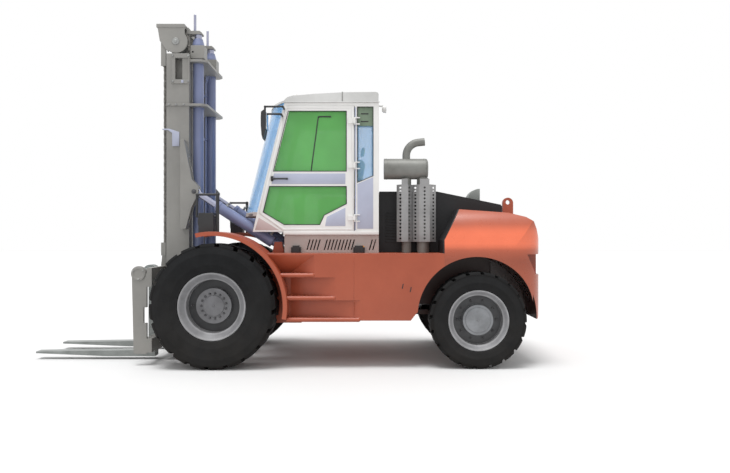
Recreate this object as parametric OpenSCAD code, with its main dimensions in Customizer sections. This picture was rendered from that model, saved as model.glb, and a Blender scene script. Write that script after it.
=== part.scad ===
// Rough terrain forklift, millimetres, +X forward, +Y to its left, +Z up.
// Modules are drawn with X = 0 at the front axle; place() then moves the
// middle of the overall length to the origin.

/* [Wheels] */
// Front axle to rear axle
wheelbase = 3150; // [3000:10:3300]
// Front tyre, over the lugs
front_tyre_d = 1490; // [1440:10:1530]
// Front tyre, across the sidewalls
front_tyre_w = 520; // [440:10:560]
// Front wheels, centre to centre
front_track = 1980; // [1950:10:2040]
// Front rim, over the flange
front_flange_d = 808; // [760:4:840]
// Rear tyre, over the lugs
rear_tyre_d = 1150; // [1100:10:1180]
// Rear tyre, across the sidewalls
rear_tyre_w = 390; // [340:10:400]
// Rear wheels, centre to centre
rear_track = 1950; // [1930:10:1990]
// Rear rim, over the flange
rear_flange_d = 724; // [680:4:740]
// Lugs on each half of a tread
lug_count = 20; // [16:1:24]
// Depth of the grooves between lugs
lug_depth = 42; // [25:1:50]
// Width of the grooves between lugs
lug_gap = 58; // [40:2:70]

/* [Chassis] */
// Width over the side boxes
body_w = 2200; // [2120:10:2260]
// Deck above the ground
deck_z = 1370; // [1350:5:1390]
// Underside above the ground
belly_z = 570; // [540:5:600]
// Rear axle to the back of the counterweight
rear_overhang = 800; // [800:10:860]
// Room between front tyre and fender
fender_room = 90; // [80:5:110]
// Depth of the fender's lip
fender_lip = 50; // [40:5:60]
// Depth of the step recess
step_depth = 170; // [120:10:200]

/* [Counterweight] */
// Highest edge of the counterweight
weight_top_z = 1905; // [1880:5:1940]
// Radius of the rear wheel arch
arch_r = 708; // [705:1:720]
// Bore of the lifting eye
eye_bore_d = 60; // [40:2:70]

/* [Hood] */
// Width of the engine hood
hood_w = 1040; // [1000:10:1060]
// Top of the hood behind the cab
hood_top_z = 2145; // [2100:5:2180]
// Diameter of the muffler
muffler_d = 258; // [220:2:270]

/* [Cab] */
// Width of the cab
cab_w = 1540; // [1440:10:1580]
// Thickness of walls and door
cab_wall = 60; // [50:2:70]
// Top of the side walls
cab_top_z = 3228; // [3200:4:3260]
// How far the windscreen bulges forward
screen_bulge = 240; // [200:10:260]
// Thickness of all glass
glass_t = 10; // [6:1:12]

/* [Mast] */
// Half width over the outer uprights
mast_half = 520; // [500:5:530]
// Fore and aft depth of an upright
upright_depth = 290; // [270:5:310]
// Height over the studs of the mast head
mast_height = 4444; // [4300:4:4600]
// Web of an outer upright
web_t = 30; // [24:1:32]
// Flange of an outer upright
flange_t = 25; // [20:1:28]
// Sliding room between nested uprights
slide_room = 8; // [6:1:10]
// Lift cylinder barrel
lift_barrel_d = 142; // [130:2:146]
// Lift cylinder rod
lift_rod_d = 95; // [80:1:100]
// Chain sheave at the mast head
sheave_d = 306; // [300:2:312]

/* [Tilt cylinders] */
// Barrel of a tilt cylinder
tilt_barrel_d = 136; // [120:2:140]
// Rod of a tilt cylinder
tilt_rod_d = 75; // [60:1:80]
// Pins of the tilt cylinders
tilt_pin_d = 56; // [50:2:60]

/* [Carriage and forks] */
// Half width over the carriage end plates
carriage_half = 920; // [860:10:940]
// Fork blade in front of the shank
fork_length = 1440; // [1200:10:1500]
// Width of a fork
fork_w = 150; // [130:5:180]
// Thickness of a fork at the heel
fork_t = 83; // [75:1:90]
// Fork centre from the middle of the carriage
fork_y = 400; // [340:10:480]
// Shaft the forks hang on
fork_shaft_d = 100; // [90:2:110]

/* [Hidden] */
$fn = 72;
fit = 0.3;
eye_slack = 9;
lug_skew = 16;
lug_rib = 30;
front_r = front_tyre_d / 2;
rear_r = rear_tyre_d / 2;
front_y = front_track / 2;
rear_y = rear_track / 2;
fender_in = front_r + fender_room;
fender_out = fender_in + fender_lip;
half_w = body_w / 2;
rear_x = -wheelbase - rear_overhang;
split_x = -wheelbase + 399;
arch_at = [-wheelbase + 12, rear_r + 45];
sweep_r = 738;
spine_half = 380;
spine_end = -wheelbase - 270;
hood_rear = -wheelbase - 397;
hood_break = -wheelbase + 430;
hood_rear_z = 1975;
hood_slope = (hood_top_z - hood_rear_z) / (hood_break - hood_rear);
eye_x = -wheelbase - 574;
lid_axis = [hood_rear - 18, hood_rear_z - 15];
hood_half = hood_w / 2;
cab_half = cab_w / 2;
cab_rear_x = -1974;
sill_z = 1593;
floor_t = 50;
sole_t = 34;
pillar_foot = [-458, 1826];
pillar_top = [-806, cab_top_z];
pillar_lean = atan2(pillar_foot[0] - pillar_top[0], pillar_top[1] - pillar_foot[1]);
screen_r = (cab_half * cab_half + screen_bulge * screen_bulge) / (2 * screen_bulge);
mast_x = 437;
mast_front = mast_x + upright_depth;
inner_x = mast_x + flange_t + slide_room;
inner_front = mast_front - flange_t - slide_room;
inner_half = mast_half - web_t - slide_room;
inner_flange = 24;
inner_web_y = 400;
lift_at = [357, 360];
mast_pivot = [347, 600];
tilt_y = 590;
tilt_front = [341, 2137];
tilt_rear = [-713, 1450];
tilt_span = [tilt_front[0] - tilt_rear[0], tilt_front[1] - tilt_rear[1]];
tilt_len = norm(tilt_span);
tilt_rise = atan2(tilt_span[1], tilt_span[0]);
clevis_in = [mast_half, mast_half + 25];
clevis_out = [tilt_y + 45, tilt_y + 70];
head_z = mast_height - 206;
outer_top_z = head_z - 333;
inner_top_z = outer_top_z - 5;
sheave_at = [609, head_z - 178];
chain_y = 450;
shank_x = 885;
shaft_at = [951, 1120];
front_reach = shank_x + fork_t + fork_length;
shift_x = -(rear_x + front_reach) / 2;
kingpin_y = 720;
door_hinge = [-1672, cab_half + 20];

orange = [0.72, 0.27, 0.16];
cream = [0.86, 0.84, 0.84];
lilac = [0.66, 0.67, 0.75];
mast_grey = [0.50, 0.49, 0.47];
dark = [0.12, 0.12, 0.13];
steel = [0.62, 0.63, 0.62];
cylinder_blue = [0.48, 0.50, 0.66];
glass_green = [0.38, 0.65, 0.40];
glass_blue = [0.62, 0.75, 0.85];
rubber = [0.07, 0.07, 0.08];

// Moves the front-axle frame to the middle of the overall length.
module place()
    translate([shift_x, 0, 0]) children();

// Draws its children on the left and mirrored on the right.
module both() {
    children();
    mirror([0, 1, 0]) children();
}

// Box from three [from, to] pairs.
module block(x, y, z)
    translate([x[0], y[0], z[0]]) cube([x[1] - x[0], y[1] - y[0], z[1] - z[0]]);

// Side profile [x, z] carried across from y[0] to y[1].
module slab(points, y)
    translate([0, y[1], 0]) rotate([90, 0, 0]) linear_extrude(y[1] - y[0]) polygon(points);

// Cross section [y, z] carried along from x[0] to x[1].
module section(points, x)
    translate([x[0], 0, 0]) rotate([90, 0, 90]) linear_extrude(x[1] - x[0]) polygon(points);

// Round bar across the machine at [x, z].
module bar_y(at, r, y)
    translate([at[0], y[0], at[1]]) rotate([-90, 0, 0]) cylinder(r = r, h = y[1] - y[0]);

// Upright round bar at [x, y].
module bar_z(at, r, z)
    translate([at[0], at[1], z[0]]) cylinder(r = r, h = z[1] - z[0]);

// Round bar along the machine at [y, z].
module bar_x(at, r, x)
    translate([x[0], at[0], at[1]]) rotate([0, 90, 0]) cylinder(r = r, h = x[1] - x[0]);

// Round bar between two points.
module strut(p, q, r) {
    d = q - p;
    translate(p) rotate([0, acos(d[2] / norm(d)), atan2(d[1], d[0])]) cylinder(r = r, h = norm(d));
}

// Turned about the wheel's axis: profile [radius, distance outward].
module turned(at, y, points)
    translate([at[0], y, at[1]]) rotate([-90, 0, 0]) rotate_extrude() polygon(points);

// Columns: tread top z, rear end of the recess x.
step_table = [[belly_z + sole_t, -1749], [861, -1454], [1134, -1203]];
step_t = 50;
nose_out = 16;

module chassis_frame() color(orange) {
    difference() {
        union() {
            block([split_x, -600], [-half_w, half_w], [belly_z, deck_z]);
            both() for (s = step_table) step_nose(s);
        }
        bar_y([0, front_r], fender_out, [-half_w - 50, half_w + 50], $fn = 360);
        wheel_tunnels();
        block([split_x - 1, -1000], [-500, 500], [belly_z + 60, deck_z + 1]);
        both() for (i = [0 : len(step_table) - 2])
            step_bay(step_table[i][0], step_table[i][1], step_table[i + 1][0] - step_t);
        both() intersection() {
            step_bay(step_table[2][0], step_table[2][1], deck_z - 20);
            section([[half_w + 1, step_table[2][0] - 1], [half_w - step_depth, step_table[2][0] - 1],
                [half_w, deck_z - 20], [half_w + 1, deck_z - 20]], [-2000, -500]);
        }
        both() slab([[arch_at[0] + 791, belly_z - 1], [arch_at[0] + 715, 666], [arch_at[0] + 500, 666],
            [arch_at[0] + 500, belly_z - 1]], [spine_half + 20, half_w + 1]);
    }
    both() block([spine_end, split_x + 500], [280, spine_half], [700, 960]);
    both() block([spine_end, split_x + 300], [spine_half - 20, spine_half], [960, deck_z]);
    block([-wheelbase + 820, -wheelbase + 940], [-280, 280], [700, 760]);
    block([-wheelbase + 110, -wheelbase + 230], [-280, 280], [700, 760]);
    block([-wheelbase - 130, -wheelbase + 90], [-280, 280], [700, 740]);
    both() difference() {
        union() {
            slab([[-1000, 480], [-1000, 1100], [-300, 1100], [mast_pivot[0] - 60, 720],
                [mast_pivot[0] - 60, 480]], [528, 568]);
            bar_y(mast_pivot, 95, [528, 568]);
        }
        bar_y([0, front_r], 140, [500, 600]);
    }
    both() bar_y(mast_pivot, 40, [462, 590]);
    both() for (y = [clevis_in, clevis_out])
        slab([[-790, deck_z - 5], [-760, 1505], [-670, 1505], [-640, deck_z - 5]], y);
    both() bar_y(tilt_rear, tilt_pin_d / 2, [clevis_in[0], clevis_out[1]]);
}

// The rounded nosing along the outer edge of one tread, ending in a ball.
module step_nose(s) {
    bar_x([half_w + nose_out - step_t / 2, s[0] - step_t / 2], step_t / 2, [s[1] + step_t / 2, -600]);
    translate([s[1] + step_t / 2, half_w + nose_out - step_t / 2, s[0] - step_t / 2])
        sphere(r = step_t / 2 + 0.5);
}

// One bay of the step recess, deepest beside the fender.
module step_bay(z0, x_end, z1)
    translate([0, 0, z0]) linear_extrude(z1 - z0)
        polygon([[-600, half_w + 1], [x_end, half_w + 1], [x_end, half_w],
            [-900, half_w - step_depth], [-600, half_w - step_depth]]);

// Room the steered rear wheels sweep, with the narrower arch in the outer skin.
module wheel_tunnels() {
    bar_y(arch_at, arch_r, [-half_w - 1, -spine_half - 20], $fn = 360);
    bar_y(arch_at, arch_r, [spine_half + 20, half_w + 1], $fn = 360);
    bar_y([-wheelbase, rear_r], sweep_r, [-1000, -spine_half - 20], $fn = 360);
    bar_y([-wheelbase, rear_r], sweep_r, [spine_half + 20, 1000], $fn = 360);
}

module front_fenders() color(orange)
    both() difference() {
        translate([0, 740, front_r]) rotate([-90, 0, 0]) rotate([0, 0, -190])
            rotate_extrude(angle = 113, $fn = 360)
                polygon([[fender_in, 440], [fender_in, 460], [fender_out, 460],
                    [fender_out, 0], [fender_in, 0], [fender_in, 20],
                    [fender_out - 22, 20], [fender_out - 22, 440]]);
        block([-1000, 0], [700, 1300], [0, belly_z]);
    }

module front_axle() color(dark) {
    bar_y([0, front_r], 140 - fit, [-700, 700]);
    translate([0, 0, front_r]) sphere(r = 250);
    both() bar_y([0, front_r], 190, [650, 700]);
    both() bar_y([0, front_r], 75, [700, front_y + 70]);
}

module rear_axle() color(dark) {
    block([-wheelbase - 90, -wheelbase + 90], [-650, 650], [rear_r - 80, rear_r + 80]);
    block([-wheelbase - 60, -wheelbase + 60], [-110, 110], [rear_r + 80, 700]);
    both() difference() {
        union() {
            block([-wheelbase - 80, -wheelbase + 80], [610, 650], [rear_r - 175, rear_r + 175]);
            for (z = [rear_r - 175, rear_r + 130]) {
                block([-wheelbase - 80, -wheelbase + 80], [650, kingpin_y], [z, z + 45]);
                bar_z([-wheelbase, kingpin_y], 80, [z, z + 45]);
            }
        }
        bar_z([-wheelbase, kingpin_y], 40 + fit, [rear_r - 200, rear_r + 200]);
    }
    bar_y([-wheelbase - 160, rear_r], 50, [-360, 360]);
    both() block([-wheelbase - 175, -wheelbase - 80], [180, 220], [rear_r - 60, rear_r + 60]);
}

// A knuckle between the ears of the steering axle, with its wheel spindle.
module knuckle() color(dark) {
    bar_z([-wheelbase, kingpin_y], 40, [rear_r - 185, rear_r + 185]);
    difference() {
        bar_z([-wheelbase, kingpin_y], 66, [rear_r - 125, rear_r + 125]);
        bar_z([-wheelbase, kingpin_y], 20, [rear_r - 10, rear_r + 10]);
    }
    bar_y([-wheelbase, rear_r], 60, [kingpin_y, rear_y + 90]);
}
module knuckle_left() knuckle();
module knuckle_right() mirror([0, 1, 0]) knuckle();

weight_side = [[split_x, 560], [split_x, 1530], [split_x - 205, weight_top_z],
    [-wheelbase - 397, weight_top_z - 43], [-wheelbase - 600, weight_top_z - 95],
    [-wheelbase - 690, weight_top_z - 150], [-wheelbase - 735, weight_top_z - 235],
    [rear_x + 18, 1540], [rear_x, 1420], [rear_x, 1060], [rear_x + 22, 590], [rear_x + 45, 570],
    [rear_x + 250, 560]];
shoulder_r = 603;
shoulder_z = 1425;
corner_r = 380;
lamp_bay = [[rear_x + 205, 1357], [rear_x - 1, 1357], [rear_x - 1, 1110], [rear_x + 80, 1110]];

module counterweight() color(orange) difference() {
    intersection() {
        slab(weight_side, [-half_w, half_w]);
        union() {
            block([rear_x + corner_r, split_x], [-half_w, half_w], [500, 2000]);
            block([rear_x, split_x], [-half_w + corner_r, half_w - corner_r], [500, 2000]);
            both() bar_z([rear_x + corner_r, half_w - corner_r], corner_r, [500, 2000], $fn = 360);
        }
        union() {
            block([rear_x, split_x], [-half_w, half_w], [500, shoulder_z]);
            block([rear_x, split_x], [-half_w + shoulder_r, half_w - shoulder_r], [500, 2000]);
            both() bar_x([half_w - shoulder_r, shoulder_z], shoulder_r, [rear_x, split_x], $fn = 360);
        }
    }
    wheel_tunnels();
    block([spine_end, split_x + 1], [-spine_half - 20, spine_half + 20], [500, deck_z + 1]);
    block([hood_rear, split_x + 1], [-hood_half, hood_half], [deck_z, 2000]);
    both() slab(lamp_bay, [640, half_w + 1]);
    both() block([-2720, -2160], [muffler_at[0] - 140, muffler_at[0] + 140], [deck_z, 2000]);
}

module lifting_eye() color(orange) difference() {
    union() {
        block([eye_x - 70, eye_x + 70], [-30, 30], [weight_top_z - 200, 2032]);
        bar_y([eye_x, 2024], 70, [-30, 30]);
    }
    bar_y([eye_x, 2032], eye_bore_d / 2, [-40, 40]);
    slab(weight_side, [-half_w, half_w]);
}

module engine_block() color(dark)
    block([-wheelbase - 50, -2080], [-270, 270], [760, 1750]);

hood_side = [[hood_rear, deck_z], [hood_rear, hood_rear_z], [hood_break, hood_top_z],
    [-1981, hood_top_z], [-1981, deck_z]];
lid_t = 40;
lid_back = 12;
// Columns: middle of a hood hinge y, length of its barrel.
lid_hinges = [[-300, 120], [300, 120]];

module hood_sides() color(dark) {
    difference() {
        slab(hood_side, [-hood_half, hood_half]);
        slab([[hood_rear + 20, deck_z - 1], [hood_rear + 20, 2300], [-2001, 2300], [-2001, deck_z - 1]],
            [-hood_half + 20, hood_half - 20]);
        translate([0, 0, -lid_t]) slab([[hood_rear - 1, hood_rear_z - hood_slope],
            [hood_break, hood_top_z], [-1980, hood_top_z], [-1980, 2400], [hood_rear - 1, 2400]],
            [-hood_half - 1, hood_half + 1]);
    }
    both() intersection() {
        slab([[split_x, deck_z], [split_x, 1530], [split_x - 205, weight_top_z],
            [split_x - 191, weight_top_z], [split_x + 14, 1527], [split_x + 14, deck_z]],
            [hood_half, half_w - 4]);
        union() {
            block([split_x - 300, split_x + 20], [hood_half, half_w - 4], [deck_z, shoulder_z]);
            bar_x([half_w - shoulder_r - 4, shoulder_z], shoulder_r, [split_x - 300, split_x + 20],
                $fn = 360);
        }
    }
    for (h = lid_hinges) {
        bar_y(lid_axis, 7, [h[0] - h[1] / 2 - 12, h[0] + h[1] / 2 + 12]);
        for (y = [h[0] - h[1] / 2 - 12, h[0] + h[1] / 2 + 2])
            block([lid_axis[0] - 12, hood_rear], [y, y + 10], [1890, lid_axis[1] + 12]);
    }
}

module hood_lid() color(dark) {
    difference() {
        slab([[hood_rear, hood_rear_z - lid_t], [hood_rear, hood_rear_z], [hood_break, hood_top_z],
            [-1986, hood_top_z], [-1986, hood_top_z - lid_t], [hood_break, hood_top_z - lid_t]],
            [-hood_half, hood_half]);
        block([hood_rear - 1, hood_rear + lid_back], [-hood_half - 1, hood_half + 1], [1900, 2100]);
    }
    intersection() {
        bar_y([-wheelbase - 183, 2040], 166, [-110, 110]);
        block([-wheelbase - 183, -wheelbase], [-110, 110], [2000, 2300]);
    }
    for (h = lid_hinges) difference() {
        union() {
            bar_y(lid_axis, 13, [h[0] - h[1] / 2, h[0] + h[1] / 2]);
            block([lid_axis[0], hood_rear + lid_back + 1], [h[0] - h[1] / 2, h[0] + h[1] / 2],
                [lid_axis[1] - 6, lid_axis[1] + 6]);
        }
        bar_y(lid_axis, 7 + fit, [h[0] - h[1], h[0] + h[1]]);
    }
}

muffler_at = [660, 2416];
// Columns: pipe axis x, pipe radius, guard front x, guard rear x, and where the columns of holes
// stand as shares of the guard's width from its front edge.
pipe_table = [[-2322, 60, -2200, -2390, [0.22, 0.8]], [-2530, 78, -2394, -2688, [0.12, 0.5, 0.88]]];
outlet = [-2320, 48, 165, 84];
outlet_z = 2585;
outlet_tail = 82;

module muffler() color(steel) {
    bar_x(muffler_at, muffler_d / 2, [-2560, -2040]);
    bar_x(muffler_at, muffler_d / 2 - 25, [-2587, -2550]);
    bar_z([outlet[0], muffler_at[0]], outlet[1], [muffler_at[1], outlet_z]);
    translate([outlet[0] - outlet[2], muffler_at[0], outlet_z]) rotate([90, 0, 0]) {
        rotate_extrude(angle = outlet[3], $fn = 180)
            translate([outlet[2], 0]) circle(r = outlet[1], $fn = 72);
        rotate([0, 0, outlet[3]]) translate([outlet[2], 0, 0]) rotate([-90, 0, 0])
            cylinder(r = outlet[1], h = outlet_tail);
    }
}

module exhaust_pipes() color(steel)
    for (p = pipe_table) difference() {
        bar_z([p[0], muffler_at[0]], p[1], [deck_z, muffler_at[1]]);
        bar_x(muffler_at, muffler_d / 2, [-2700, -2000]);
    }

// Guards of folded pierced sheet, each on two flat straps round its pipe. The
// middle fold of each stands higher than its two wings.
guard_z = [1506, 2217];
guard_rise = 70;
guard_t = 8;
guard_y = [muffler_at[0] - 20, muffler_at[0] + 110];
guard_hole_d = 24;
guard_pitch = 45;
module guard_plan(p, in)
    polygon([[p[2] - in, guard_y[0] - in], [p[2] - in, guard_y[0] + 50],
        [p[2] - (p[2] - p[3]) * 0.28 - in / 3, guard_y[1] - in],
        [p[3] + (p[2] - p[3]) * 0.28 + in / 3, guard_y[1] - in],
        [p[3] + in, guard_y[0] + 50], [p[3] + in, guard_y[0] - in]]);
module exhaust_guards() color(steel)
    for (p = pipe_table) let (w = p[2] - p[3]) difference() {
        union() {
            difference() {
                translate([0, 0, guard_z[0]]) linear_extrude(guard_z[1] + guard_rise - guard_z[0])
                    guard_plan(p, 0);
                translate([0, 0, guard_z[0] - 1]) linear_extrude(900) guard_plan(p, guard_t);
                for (x = [p[3] - 1, p[2] - 0.3 * w])
                    block([x, x + 0.3 * w + 1], [guard_y[0] - 1, guard_y[1] + 1],
                        [guard_z[1], guard_z[1] + guard_rise + 1]);
            }
            for (z = [1560, 2150])
                block([p[3] + 4, p[2] - 4], [guard_y[0], guard_y[0] + 40], [z, z + 12]);
        }
        bar_z([p[0], muffler_at[0]], p[1], [guard_z[0] - 1, guard_z[1] + 1]);
        for (i = [0 : 14], share = p[4])
            translate([p[2] - share * w, guard_y[0] + 45, guard_z[0] + 42 + guard_pitch * i])
                rotate([-90, 0, 0]) cylinder(r = guard_hole_d / 2, h = 200);
    }

// Columns: foot of the first louvre x, number of louvres in the row.
louvre_table = [[-1075, 4], [-1290, 9], [-1850, 2]];
louvre_pitch = 42;
louvre_w = 15;
louvre_lean = -37;
// Columns: front end x, rear end x of a cab mount.
mount_table = [[-890, -1010], [-1658, -1800]];

module cab_plinth() color(mast_grey) difference() {
    block([cab_rear_x, -803], [-740, 740], [deck_z, sill_z]);
    block([cab_rear_x + 60, -863], [-700, 700], [deck_z - 1, sill_z - 40]);
    for (row = louvre_table, i = [0 : row[1] - 1])
        let (x = row[0] - louvre_pitch * i)
            both() slab([[x, 1405], [x - louvre_w, 1405], [x - louvre_w + louvre_lean, 1535],
                [x + louvre_lean, 1535]], [690, 750]);
}

module cab_mounts() color(dark) both() for (m = mount_table) {
    block([m[1] + 20, m[0] - 20], [740, 800], [deck_z, 1460]);
    block([m[1], m[0]], [740, 790], [deck_z, 1440]);
}

// A box round the side profile of the cab at one wall.
cab_side = [[cab_rear_x, sill_z], [cab_rear_x, cab_top_z], pillar_top, pillar_foot,
    [-414, 1630], [-791, 1630], [-791, sill_z]];
door_gap = 8;
// Front edge of the door at height z, in from the front of the pillar.
function door_front(z, in) = pillar_foot[0] - in - (z - pillar_foot[1]) * tan(pillar_lean);
door_top = 3178;
door_sill = 1650;
door_in = 34;
door_nose = 1868;
door_line = [[-1667, door_sill], [-1667, door_top], [door_front(door_top, door_in), door_top],
    [door_front(door_nose, door_in), door_nose], [-800, door_sill]];
door_hole = [[-1667 - door_gap, door_sill - door_gap], [-1667 - door_gap, door_top + door_gap],
    [door_front(door_top, door_in - door_gap), door_top + door_gap],
    [door_front(door_nose, door_in - door_gap), door_nose - door_gap / 2], [-798, door_sill - door_gap]];
upper_pane = [[door_front(3128, 82), 3128], [-1577, 3128], [-1577, 2376], [door_front(2376, 78), 2376]];
lower_pane = [[door_front(2197, 68), 2197], [door_front(1872, 68), 1872], [-803, 1714], [-1246, 1714],
    [-1302, 1833], [-1579, 1975], [-1577, 2197]];
quarter_pane = [[-1704, 3180], [-1908, 3180], [-1908, 2320], [-1704, 2235]];
rear_pane = [[-560, 2330], [-560, 3120], [560, 3120], [560, 2330]];
wall_y = [cab_half - cab_wall, cab_half];
pane_y = [cab_half - cab_wall / 2 - glass_t / 2, cab_half - cab_wall / 2 + glass_t / 2];
hinge_z = [1800, 2450, 3000];

module cab_floor() color(mast_grey) {
    difference() {
        intersection() {
            screen_bow(screen_r);
            block([-1200, 0], [-cab_half, cab_half], [pillar_foot[1], pillar_foot[1] + floor_t]);
        }
        both() block([pillar_foot[0] + 18, 0], [tilt_y - 80, tilt_y + 80],
            [pillar_foot[1] - 1, pillar_foot[1] + floor_t / 2 + 2]);
    }
    slab([[cab_rear_x + cab_wall, sill_z], [-791, sill_z], [-791, 1630], pillar_foot,
        [pillar_foot[0] - 12, pillar_foot[1] + floor_t], [-812, sill_z + floor_t],
        [cab_rear_x + cab_wall, sill_z + floor_t]], [-wall_y[0], wall_y[0]]);
}

module cab_side_left() color(cream) {
    difference() {
        slab(cab_side, wall_y);
        slab(door_hole, [wall_y[0] - 1, wall_y[1] + 1]);
        slab(quarter_pane, [wall_y[0] - 1, wall_y[1] + 1]);
    }
    for (z = hinge_z) {
        bar_z(door_hinge, 8, [z - 45, z + 45]);
        for (dz = [-45, 33])
            block([door_hinge[0] - 70, door_hinge[0]], [cab_half, cab_half + 28], [z + dz, z + dz + 12]);
    }
}

module cab_side_right() color(cream) mirror([0, 1, 0]) difference() {
    slab(cab_side, wall_y);
    for (p = [upper_pane, lower_pane, quarter_pane])
        slab(p, [wall_y[0] - 1, wall_y[1] + 1]);
}

module cab_rear_wall() color(cream) difference() {
    block([cab_rear_x, cab_rear_x + cab_wall], [-wall_y[0], wall_y[0]], [sill_z, cab_top_z]);
    section(rear_pane, [cab_rear_x - 1, cab_rear_x + cab_wall + 1]);
}

// The segment in front of the pillars that the windscreen bounds.
module screen_bow(r)
    translate([pillar_foot[0], 0, pillar_foot[1]]) rotate([0, -pillar_lean, 0]) intersection() {
        translate([screen_bulge - screen_r, 0, -200]) cylinder(r = r, h = 2000, $fn = 360);
        block([0, screen_bulge + 50], [-cab_half, cab_half], [-200, 1800]);
    }

module windscreen() color(glass_blue) intersection() {
    difference() {
        screen_bow(screen_r);
        screen_bow(screen_r - glass_t);
    }
    block([-1200, 0], [-cab_half, cab_half], [pillar_foot[1] + floor_t, cab_top_z]);
}

roof_side = [[cab_rear_x + 4, cab_top_z], [cab_rear_x + 4, cab_top_z + 107],
    [cab_rear_x + 14, cab_top_z + 124], [cab_rear_x + 40, cab_top_z + 132], [-1535, cab_top_z + 128],
    [-1160, cab_top_z + 108], [-900, cab_top_z + 84], [-845, cab_top_z + 68], [-812, cab_top_z + 42],
    [pillar_top[0] + 8, cab_top_z]];

module cab_roof() color(cream) {
    slab(roof_side, [-cab_half - 10, cab_half + 10]);
    intersection() {
        screen_bow(screen_r + 6);
        block([-1200, 0], [-cab_half, cab_half], [cab_top_z, cab_top_z + 30]);
    }
}

module cab_glass() color(glass_blue) {
    slab(quarter_pane, pane_y);
    mirror([0, 1, 0]) for (p = [upper_pane, lower_pane, quarter_pane])
        slab(p, pane_y);
    section(rear_pane, [cab_rear_x + 25, cab_rear_x + 25 + glass_t]);
}

module door_frame() color(cream) {
    difference() {
        slab(door_line, wall_y);
        for (p = [upper_pane, lower_pane])
            slab(p, [wall_y[0] - 1, wall_y[1] + 1]);
    }
    for (z = hinge_z) difference() {
        union() {
            bar_z(door_hinge, 18, [z - 30, z + 30]);
            block([door_hinge[0], door_hinge[0] + 80], [cab_half, cab_half + 14], [z - 30, z + 30]);
        }
        bar_z(door_hinge, 8 + fit, [z - 40, z + 40]);
    }
}

// The pull bar by the door's front edge, on two feet, with the lock body under its front end.
module door_handle() color(dark) {
    for (x = [-849, -690])
        block([x, x + 22], [cab_half, cab_half + 24], [2275, 2297]);
    block([-668, -640], [cab_half, cab_half + 20], [2255, 2317]);
    bar_x([cab_half + 22, 2286], 10, [-849, -654]);
}

module door_glass() color(glass_green)
    for (p = [upper_pane, lower_pane])
        slab(p, pane_y);

module seat() color(dark) {
    block([-1700, -1250], [-230, 230], [sill_z + floor_t, 1960]);
    block([-1720, -1200], [-270, 270], [1960, 2100]);
    slab([[-1720, 2100], [-1820, 2620], [-1700, 2640], [-1590, 2100]], [-250, 250]);
    slab([[-1798, 2620], [-1825, 2780], [-1745, 2790], [-1715, 2620]], [-130, 130]);
}

module console() color(dark) {
    block([-980, -860], [-140, 140], [sill_z + floor_t, 2080]);
    block([-1700, -1150], [-460, -300], [sill_z + floor_t, 2095]);
    strut([-930, 0, 2060], [-1080, 0, 2300], 35);
}

module steering_wheel() color(dark)
    translate([-1080, 0, 2300]) rotate([0, -atan2(150, 240), 0]) {
        rotate_extrude() translate([190, 0]) circle(r = 16);
        cylinder(r = 50, h = 40);
        for (a = [0, 120, 240]) rotate([0, 0, a])
            translate([40, -14, 2]) cube([145, 28, 12]);
    }

// Columns: foot on the pillar x, height z, front end x.
mirror_arms = [[-781, 3060, -600], [-803, 3150, -588]];
mirror_y = 930;
mirror_arm_r = 12;
mirror_side = [[-552, 3000], [-556, 3070], [-588, 3095], [-612, 3070], [-616, 2950], [-606, 2850],
    [-590, 2770], [-576, 2740], [-562, 2790], [-553, 2900]];

module mirrors() color(dark) both() {
    slab(mirror_side, [850, 1040]);
    for (arm = mirror_arms) {
        bar_y([arm[0], arm[1]], mirror_arm_r, [cab_half - 1, mirror_y]);
        bar_x([mirror_y, arm[1]], mirror_arm_r, [arm[0], arm[2]]);
        translate([arm[0], mirror_y, arm[1]]) sphere(r = mirror_arm_r + 2);
    }
    bar_z([-588, mirror_y], mirror_arm_r, [3080, 3150]);
    translate([-588, mirror_y, 3150]) sphere(r = mirror_arm_r + 2);
}

module headlamps() color(dark) both() {
    difference() {
        block([7, 184], [900, 1080], [1560, 1854]);
        bar_y([0, front_r], fender_out, [890, 1090], $fn = 360);
    }
    for (post = [[-36, 20, 1620], [212, 14, 1800]]) {
        bar_z([post[0], 1040], post[1], [post[2], 2075]);
        translate([post[0], 1040, 2075]) sphere(r = post[1] + 2);
    }
    bar_x([1040, 2075], 14, [-36, 212]);
    bar_x([1040, 1812], 12, [-36, 30]);
    bar_x([1040, 1812], 12, [170, 212]);
}

// Front wall of the lamp bay at height z.
function bay_x(z) = rear_x + 80 + (z - 1110) * 125 / 247;
module tail_lamps() color([0.6, 0.1, 0.08]) both()
    slab([[bay_x(1125) + 2, 1125], [bay_x(1342) + 2, 1342], [bay_x(1342) - 30, 1342],
        [bay_x(1125) - 30, 1125]], [660, 880]);

module outer_uprights() color(mast_grey) both() difference() {
    union() {
        block([mast_x, mast_front], [385, mast_half], [180, outer_top_z]);
        slab([[515, 2788], [467, 2788], [384, 2365], [373, 2290], [289, 2197], [289, 2120], [352, 1979],
            [373, 1938], [446, 1667], [515, 1667]], [mast_half, clevis_out[1]]);
        slab([[mast_x, 420], [mast_pivot[0] - 40, 520], [mast_pivot[0] - 90, 560],
            [mast_pivot[0] - 90, 640], [mast_pivot[0] - 40, 680], [mast_x, 900]],
            [470, mast_half]);
    }
    block([mast_x + flange_t, mast_front - flange_t], [380, mast_half - web_t], [170, outer_top_z + 1]);
    block([200, mast_x - 5], [clevis_in[1], clevis_out[0]], [1500, 2900]);
    bar_y(mast_pivot, 40 + fit, [400, 600]);
    block([524, 612], [mast_half - web_t - 1, mast_half + 1], [anchor_z[0] + 54, anchor_z[1] - 54]);
}

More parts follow.
